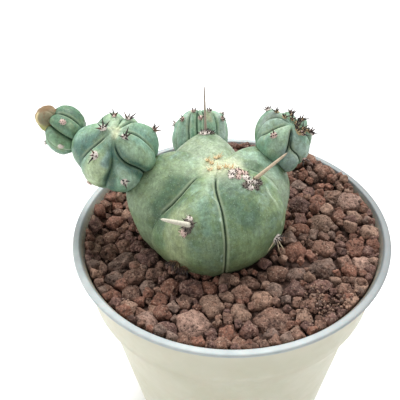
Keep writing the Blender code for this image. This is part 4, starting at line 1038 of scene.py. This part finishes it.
def build_plant():
    """All the heads with their skin, wool and spines."""
    stem, left, far_left = main_stem_shape(), left_offset_shape(), far_left_offset_shape()
    rear, right, bud = rear_offset_shape(), right_offset_shape(), far_left_bud_shape()
    # The fourth colour of each skin is the painted shade in its folds, and the fifth its pale tip, which also
    # gives the painted highlight on the furrows' lips
    old = (skin_material("stem_skin", (84, 108, 76), (112, 132, 94), (130, 156, 140), (66, 92, 68),
                         (196, 206, 174)), "stem_skin")
    young = (skin_material("young_skin", (98, 134, 112), (124, 156, 128), (142, 172, 158), (62, 94, 80),
                           (186, 196, 162)), "young_skin")
    fine_head(stem, STEM_PATCHES, *old, 26, 190, 126, 0.18, 0.35)
    fine_head(left, LEFT_PATCHES, *young, 16, 140, 150, 0.08, 0.5, stem)
    fine_head(right, RIGHT_PATCHES, *young, 14, 120, 150, 0.08, 0.0, stem)
    fine_head(rear, REAR_PATCHES, *young, 11, 110, 150, 0.08, 0.0, stem)
    fine_head(far_left, FAR_PATCHES, *young, 12, 90, 150, 0.08, 0.1, left)
    fine_head(bud, BUD_PATCHES, bud_material(), "bud_skin", 10, 70, 150, 0.12, 0.0, far_left)
    looks = wool_material(), spine_material()
    for head, seed, *sizes in ((stem, 7), (left, 11, 3.1, 0.38), (right, 12, 2.3, 0.34),
                               (rear, 13, 2.0, 0.30), (far_left, 14, 1.2, 0.22)):
        dress = Dressing(head, seed)
        if head is stem:
            dress_stem(dress)
        else:
            dress_young(dress, *sizes)
        if head is right:
            dress_crown(dress)
        dress.finish(*looks)


def inner_radius(height):
    """Inside radius of the pot at a height above the ground, for the stretch that the stones reach."""
    top = POT_HEIGHT - LIP_HEIGHT - INNER_LIP_DROP
    foot = POT_HEIGHT - COLLAR_HEIGHT + INNER_STEP_RISE
    share = np.minimum((height - foot) / (top - foot), 1.0)
    return COLLAR_FOOT_RADIUS - WALL + (COLLAR_TOP_RADIUS - COLLAR_FOOT_RADIUS) * share


def clear_of_stem(x, y, reach):
    """True where a stone stays outside the mother stem at grit level."""
    left_rib = max(0.0, math.cos(math.atan2(y, STEM_X - x)))
    return math.hypot(x - STEM_X, y) > STEM_REACH + LEFT_RIB_REACH * left_rib ** 4 + reach * 0.3


def rise(x, y):
    """How much higher the grit lies at one place than in the middle of the pot."""
    along = math.hypot(x, y) * math.cos(math.atan2(y, x) - RIM_BANK_BEARING)
    rim_bank = RIM_BANK * smooth_step((along - RIM_BANK_START) / RIM_BANK_WIDTH)
    stem_bank = STEM_BANK * smooth_step((STEM_BANK_END - math.hypot(x - STEM_X, y)) / STEM_BANK_WIDTH)
    return RISE_RIGHT * x + RISE_BACK * y + float(rim_bank + stem_bank)


def anywhere(draw):
    """A random place on the bed, in millimetres, and its distance from the middle."""
    away = BED_LIMIT * math.sqrt(draw.random())
    bearing = draw.uniform(-math.pi, math.pi)
    return away * math.cos(bearing), away * math.sin(bearing), away


def stone_layout():
    """Every CAD stone as (x, y, length, depth, turn, kind) in millimetres: the notable ones, then fill."""
    draw = random.Random(FILL_SEED)
    stones = list(NOTABLE_STONES)
    for _ in range(FILL_TRIES):
        size = draw.uniform(*FILL_SIZES)
        x, y, away = anywhere(draw)
        depth = size * draw.uniform(0.7, 1.0)
        turn = draw.uniform(-90, 90)
        kind = draw.choice(("brown", "brown", "rust", "plum", "plum", "grey", "tan"))
        if away > BED_LIMIT - size * 0.42 or not clear_of_stem(x, y, size):
            continue
        near = min(math.hypot(x - s[0], y - s[1]) - 0.36 * (size + (s[2] + s[3]) / 2) for s in stones)
        if near > 0:
            stones.append((x, y, size, depth, turn, kind))
        if len(stones) == len(NOTABLE_STONES) + FILL_STONES:
            break
    return stones


def stone_height(x, y, length, depth, index):
    """Height of a stone and the level of its middle against the rim. Each one is sunk in the bed."""
    height = 0.45 * length + 0.45 * depth
    by_top = STONE_TOPS + random.Random(index).uniform(-1.1, 0.7) - height / 2
    by_bed = height / 2 - BED_DEPTH - STONE_SINK
    return height, min(by_top, by_bed) + rise(x, y)


def any_way_up(draw):
    return Euler([draw.uniform(0, 6) for _ in range(3)]).to_matrix()


def stone_planes(index):
    """Normals and distances of the CAD stone's flat sides, before it is stretched to size."""
    draw = random.Random(STONE_SEED + index)
    bm = bmesh.new()
    if index < len(NOTABLE_STONES):
        bmesh.ops.create_icosphere(bm, subdivisions=1, radius=0.5)
    else:
        bmesh.ops.create_cube(bm, size=0.68)
    bmesh.ops.rotate(bm, verts=bm.verts, matrix=any_way_up(draw))
    for vert in bm.verts:
        vert.co *= draw.uniform(0.86, 1.16)
    bmesh.ops.triangulate(bm, faces=bm.faces)
    bm.normal_update()
    normals = np.array([face.normal for face in bm.faces])
    reaches = np.array([face.verts[0].co.dot(face.normal) for face in bm.faces])
    bm.free()
    return np.where(reaches[:, None] < 0, -normals, normals), np.maximum(np.abs(reaches), 0.1)


def ball(subdivisions):
    """Directions and faces of a fine ball."""
    bm = bmesh.new()
    bmesh.ops.create_icosphere(bm, subdivisions=subdivisions, radius=1)
    directions = np.array([vert.co for vert in bm.verts])
    faces = [[vert.index for vert in face.verts] for face in bm.faces]
    bm.free()
    return directions / np.linalg.norm(directions, axis=1)[:, None], faces


def rounded(directions, normals, reaches, power):
    """Distance to the skin of a body with flat sides and worn edges, in each direction."""
    towards = np.maximum(directions @ normals.T / reaches, 0)
    return (towards ** power).sum(1) ** (-1 / power)


class Stone:
    """One stone: where it lies, how it is turned and its whole length, depth and height in metres."""

    def __init__(self, place, size, tone, roughness, seed, form=None):
        self.place = place
        self.middle = np.array(place.translation)
        self.size = np.array(size)
        self.planes = stone_planes(seed if form is None else form)
        self.tone = tone
        self.seed = seed
        self.roughness = roughness
        self.radius = float(self.size.mean()) / 2

    def sides(self, neighbours):
        """Normals and distances of its flat sides, with one against each neighbour that it leans on."""
        normals, reaches = self.planes
        stretched = normals / self.size
        length = np.linalg.norm(stretched, axis=1)
        normals, reaches = stretched / length[:, None], reaches / length
        turn = np.array(self.place.to_3x3().normalized())
        against, gaps = [], []
        for other in neighbours:
            way = other.middle - self.middle
            away = np.linalg.norm(way)
            if other is not self and away < (self.radius + other.radius) * 1.5:
                against.append(way / away @ turn)
                gaps.append(max(away * self.radius / (self.radius + other.radius), 0.45 * self.radius))
        if against:
            normals, reaches = np.vstack((normals, against)), np.append(reaches, gaps)
        return normals, reaches

    def add_to(self, builder, shape, neighbours, power):
        """A worn lump with a rough skin and open pores, kept inside the pot."""
        directions, faces = shape
        body = directions * rounded(directions, *self.sides(neighbours), power)[:, None]
        spot = body + np.array((self.seed * 7.3, self.seed * 3.1, self.seed * 5.7)) * MM
        rough = fractal(spot, 2.6 * MM, 4, self.seed)
        holes = pits(spot, 1.1 * MM, self.seed)
        push = self.roughness * (0.46 * MM * rough - 0.5 * MM * holes)
        body = body + directions * push[:, None]
        turned = np.array([self.place @ Vector(point) for point in body])
        reach = np.hypot(turned[:, 0], turned[:, 1])
        limit = inner_radius(turned[:, 2]) - 0.4 * MM
        turned[:, :2] *= np.minimum(limit / np.maximum(reach, 1e-6), 1)[:, None]
        # hollow marks the pits, which stone_material paints with shade
        builder.add(turned, faces, tone=self.tone, hollow=np.clip(holes * 0.9 - rough * 0.6, 0, 1))


def stone_tone(draw, kind):
    """A stone's own colour: its kind's, a little lighter or darker and warmer or cooler."""
    light = draw.uniform(0.74, 1.10)
    warm = draw.uniform(0.975, 1.03)
    red, green, blue = colour(*STONE_COLOURS[kind])
    return red * light * warm, green * light, blue * light / warm


def tumbled(draw, x, y, level):
    """A place for a small stone that lies any way up."""
    return Matrix.Translation(rim_point(x, y, level)) @ any_way_up(draw).to_4x4()


def large_stones(draw, layout):
    """The CAD's stones, grown until they meet."""
    for index, (x, y, length, depth, turn, kind) in enumerate(layout):
        height, middle = stone_height(x, y, length, depth, index)
        place = Matrix.Translation(rim_point(x, y, middle)) @ Matrix.Rotation(math.radians(turn), 4, "Z")
        grow = STONE_SWELL * draw.uniform(*STONE_GROWTH)
        roughness = draw.uniform(0.6, 0.9) if kind in ("tan", "pink", "olive") else draw.uniform(0.9, 1.3)
        size = mm(length * grow, depth * grow, height * 1.1)
        yield Stone(place, size, stone_tone(draw, kind), roughness, index)


def small_stones(draw, layout):
    """Small stones in the gaps between the large ones."""
    placed = [(s[0], s[1], (s[2] + s[3]) / 4 * STONE_SWELL) for s in layout]
    made = []
    for _ in range(SMALL_TRIES):
        x, y, away = anywhere(draw)
        radius = draw.uniform(1.0, 2.6)
        if away > BED_LIMIT - radius or not clear_of_stem(x, y, radius):
            continue
        if min(math.hypot(x - s[0], y - s[1]) - s[2] * 0.8 - radius * 0.62 for s in placed) < 0:
            continue
        placed.append((x, y, radius))
        place = tumbled(draw, x, y, draw.uniform(-4.4, -2.4) + rise(x, y))
        size = [2.5 * radius * MM * draw.uniform(0.8, 1.25) for _ in range(3)]
        tone = stone_tone(draw, draw.choice(("brown", "rust", "plum", "grey", "tan", "brown", "rust")))
        made.append(Stone(place, size, tone, 0.8, SMALL_SEED + len(made)))
        if len(made) == SMALL_STONES:
            break
    return made


def wall_stones(draw):
    """Stones heaped against the pot's wall, up to just under the lip."""
    made = []
    bearing = 0.0
    while bearing < 2 * math.pi:
        radius = draw.uniform(1.3, 2.7)
        away = inner_radius(POT_HEIGHT - 2 * MM) / MM - radius * 0.8
        x, y = away * math.cos(bearing), away * math.sin(bearing)
        level = draw.uniform(-1.7, -0.7) - radius * 0.8 + max(0.0, rise(x, y)) * 0.5
        size = [2.3 * radius * MM * draw.uniform(0.85, 1.25) for _ in range(3)]
        tone = stone_tone(draw, draw.choice(("brown", "rust", "plum", "grey", "tan", "brown", "plum")))
        made.append(Stone(tumbled(draw, x, y, level), size, tone, 0.9, WALL_SEED + len(made)))
        bearing += 1.75 * radius / away
    return made


def crumb_stones(draw):
    """Crumbs over the whole bed, with a drift of them at the front right."""
    for k in range(CRUMBS):
        x, y, _ = anywhere(draw)
        drift = k % 3 == 0
        if drift:
            x, y = (middle + draw.gauss(0, spread) for middle, spread in zip(DRIFT_PLACE, DRIFT_SPREAD))
        if math.hypot(x, y) > BED_LIMIT - 1 or not clear_of_stem(x, y, 0.6):
            continue
        level = draw.uniform(-2.8, -1.2) if drift else draw.uniform(-4.4, -3.0)
        place = tumbled(draw, x, y, level + rise(x, y))
        size = [draw.uniform(0.5, 1.6) * MM for _ in range(3)]
        tone = stone_tone(draw, draw.choice(("brown", "plum", "grey", "tan", "tan")))
        yield Stone(place, size, tone, 0.25, k, CRUMB_SEED + k % CRUMB_FORMS)


def build_stones():
    """The CAD's stones made rough and grown until they meet, then small stones and crumbs between them."""
    look = stone_material()
    crumb, pebble, coarse, fine = (ball(level) for level in (2, 3, 4, 5))
    draw = random.Random(GRIT_SEED)
    layout = stone_layout()
    stones = list(large_stones(draw, layout))
    front, back, small, crumbs = (Builder() for _ in range(4))
    for stone in stones:
        shape = fine if stone.size[0] > LARGE_STONE * MM else coarse
        stone.add_to(front if stone.middle[1] < FRONT_STONES_END * MM else back, shape, stones,
                     WORN_EDGES["large"])
    front.make("lava_stones_front", look, "lava", "lava_grit")
    back.make("lava_stones_back", look, "lava")
    for stone in small_stones(draw, layout):
        stone.add_to(small, pebble, stones, WORN_EDGES["small"])
    for stone in wall_stones(draw):
        stone.add_to(small, pebble, (), WORN_EDGES["small"])
    small.make("lava_stones_small", look, "lava")
    for stone in crumb_stones(draw):
        stone.add_to(crumbs, crumb, (), WORN_EDGES["crumb"])
    crumbs.make("lava_crumbs", look, "lava")


def build_bed():
    """The surface of the fine grit that the stones sit in."""
    rows, columns = BED_GRID
    points = []
    for away in BED_RADIUS * (np.arange(rows) + 1) / rows:
        for turn in circle(columns):
            x, y = away * math.cos(turn), away * math.sin(turn)
            points.append(rim_point(x, y, rise(x, y) - BED_DEPTH))
    points = np.array(points)
    points[:, 2] += 0.5 * MM * fractal(points, 2.2 * MM, 3, 77)
    points = np.vstack((points, rim_point(0, 0, -BED_DEPTH), rim_point(0, 0, -BED_DEPTH - 6)))
    builder = Builder()
    builder.add(points, [face[::-1] for face in ring_faces(rows, columns)])
    builder.make("fine_grit_bed", bed_material(), "lava")


def arc(centre_radius, centre_height, radius, start, stop, steps):
    """Points of a round edge as (radius, height), angles in degrees from straight out."""
    turns = np.radians(np.linspace(start, stop, steps + 1))
    return list(zip(centre_radius + radius * np.cos(turns), centre_height + radius * np.sin(turns)))


def wall_radius(height):
    """Outside radius of the pot's wall below the collar, at a height above the ground."""
    return FLOOR_RADIUS + WALL_TAPER * height


def pot_profile():
    """The pot's outline as (radius, height): foot, wall, collar and lip, then down its inside."""
    step = POT_HEIGHT - COLLAR_HEIGHT
    ring_inner, ring_outer = FOOT_RING
    lip_foot, lip_round = POT_HEIGHT - LIP_HEIGHT, POT_HEIGHT - LIP_ROUNDING
    return np.array([
        (1e-5, 0), (ring_inner - 0.3 * MM, 0), (ring_inner + FOOT_RECESS, FOOT_RECESS),
        (ring_outer - FOOT_RECESS, FOOT_RECESS), (ring_outer, 0), (FLOOR_RADIUS - 1.5 * MM, 0),
        *arc(wall_radius(1.3 * MM) - 1.3 * MM, 1.3 * MM, 1.3 * MM, -80, -8, 5),
        *((wall_radius(h), h) for h in np.linspace(4 * MM, step - COLLAR_STEP, 8)),
        (COLLAR_FOOT_RADIUS - 0.35 * MM, step - 0.12 * MM), (COLLAR_FOOT_RADIUS, step + 0.3 * MM),
        *((COLLAR_FOOT_RADIUS + (COLLAR_TOP_RADIUS - COLLAR_FOOT_RADIUS) * t,
           step + (COLLAR_HEIGHT - LIP_HEIGHT - 0.9 * MM) * t) for t in (0.25, 0.5, 0.75, 0.97)),
        (COLLAR_TOP_RADIUS + 0.1 * MM, lip_foot - 0.3 * MM),
        *arc(RIM_RADIUS - 0.5 * MM, lip_foot + 0.5 * MM, 0.5 * MM, -80, 0, 4),
        *arc(RIM_RADIUS - LIP_ROUNDING, lip_round, LIP_ROUNDING, 6, 84, 6),
        *arc(RIM_RADIUS - LIP_WIDTH + LIP_ROUNDING, lip_round, LIP_ROUNDING, 96, 174, 5),
        (COLLAR_TOP_RADIUS - WALL, lip_foot - INNER_LIP_DROP),
        (COLLAR_FOOT_RADIUS - WALL, step + INNER_STEP_RISE),
        (wall_radius(step) - WALL, step - COLLAR_STEP + WALL),
        (wall_radius(FLOOR_TOP + 2 * MM) - WALL, FLOOR_TOP + 2 * MM),
        (wall_radius(FLOOR_TOP) - WALL - 1.6 * MM, FLOOR_TOP), (1e-5, FLOOR_TOP)])


def build_pot():
    """The pot, turned from the CAD's profile with its edges rounded, and its drainage slots cut."""
    profile = pot_profile()
    radius, height = profile.T[..., None]
    turns = np.array(circle(POT_SIDES))
    wobble = 1 + 0.0012 * np.sin(2 * turns + 0.6) * smooth_step(height / POT_HEIGHT)
    grid = np.broadcast_arrays(radius * np.cos(turns) * wobble, radius * np.sin(turns) * wobble, height)
    points = np.vstack((np.stack(grid, -1).reshape(-1, 3), (0, 0, 0), (0, 0, FLOOR_TOP)))
    # lip and inside mark where pot_material paints shade: the lip band and the inner wall
    lip = smooth_step((points[:, 2] - POT_HEIGHT + LIP_HEIGHT + 0.2 * MM) / (0.4 * MM))
    inner_rows = np.arange(len(profile)) >= len(profile) - INNER_POINTS
    inside = np.append(np.repeat(inner_rows, POT_SIDES), (False, True))
    builder = Builder()
    builder.add(points, [face[::-1] for face in ring_faces(len(profile), POT_SIDES)], lip=lip, inside=inside)
    cut_slots(builder.make("pot_body", pot_material(), "pot_plastic", "pot"))


def cut_slots(pot):
    """Drainage slots through the floor, applied."""
    bm = bmesh.new()
    size = Matrix.Diagonal((*SLOT_SIZE, 4 * FLOOR_TOP, 1))
    for turn in circle(SLOT_COUNT):
        turned = Matrix.Rotation(turn + math.pi / SLOT_COUNT, 4, "Z")
        bmesh.ops.create_cube(bm, size=1, matrix=turned @ Matrix.Translation((SLOT_RADIUS, 0, 0)) @ size)
    mesh = bpy.data.meshes.new("slots")
    bm.to_mesh(mesh)
    bm.free()
    cutter = new_object("slots", mesh)
    cut = pot.modifiers.new("slots", "BOOLEAN")
    cut.operation = "DIFFERENCE"
    cut.object = cutter
    graph = bpy.context.evaluated_depsgraph_get()
    graph.update()
    finished = bpy.data.meshes.new_from_object(pot.evaluated_get(graph))
    pot.modifiers.clear()
    pot.data = finished
    bpy.data.objects.remove(cutter)


def add_camera():
    right, up = Vector(CAMERA_RIGHT), Vector(CAMERA_UP)
    turn = Matrix((right, up, right.cross(up))).transposed().to_4x4()
    camera = new_object("camera", bpy.data.cameras.new("camera"))
    camera.matrix_world = Matrix.Translation(rim_point(*CAMERA_PLACE)) @ turn
    camera.data.sensor_width = SENSOR
    camera.data.lens = SENSOR * FOCAL_PIXELS / PHOTO_SIDE
    camera.data.clip_start = 0.005
    bpy.context.scene.camera = camera


def add_panel(name, place, target, size, power):
    """A large soft light."""
    data = bpy.data.lights.new(name, "AREA")
    data.shape = "DISK"
    data.size = size
    data.energy = power
    light = new_object(name, data)
    light.location = place
    light.rotation_mode = "QUATERNION"
    light.rotation_quaternion = (Vector(target) - Vector(place)).to_track_quat("-Z", "Y")


def add_stage():
    """A plain pale floor, an even white sky and four soft panels."""
    mesh = bpy.data.meshes.new("floor")
    corners = [(-FLOOR_HALF, -FLOOR_HALF, 0), (FLOOR_HALF, -FLOOR_HALF, 0), (FLOOR_HALF, FLOOR_HALF, 0),
               (-FLOOR_HALF, FLOOR_HALF, 0)]
    mesh.from_pydata(corners, [], [(0, 1, 2, 3)])
    floor = new_object("floor", mesh)
    paint = Shader("floor_paint", Roughness=0.9)
    paint.tint = paint.mix(paint.clouds((0.3, 0.7), 300, 2), (247, 247, 247), (249.3, 249.3, 249.3))
    mesh.materials.append(paint.finish())
    floor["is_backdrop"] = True
    world = bpy.data.worlds.new("sky")
    world.use_nodes = True
    sky = world.node_tree.nodes["Background"]
    sky.inputs["Color"].default_value = (1.0, 1.0, 1.0, 1)
    sky.inputs["Strength"].default_value = SKY_STRENGTH
    bpy.context.scene.world = world
    for panel in PANELS:
        add_panel(*panel)


add_camera()
add_stage()
build_pot()
build_bed()
build_stones()
build_plant()
bpy.context.scene.view_settings.view_transform = "Standard"
boxes = {"cad": CAD_BOX, "visual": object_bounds()}
{name: [list(corner) for corner in box] for name, box in boxes.items()}
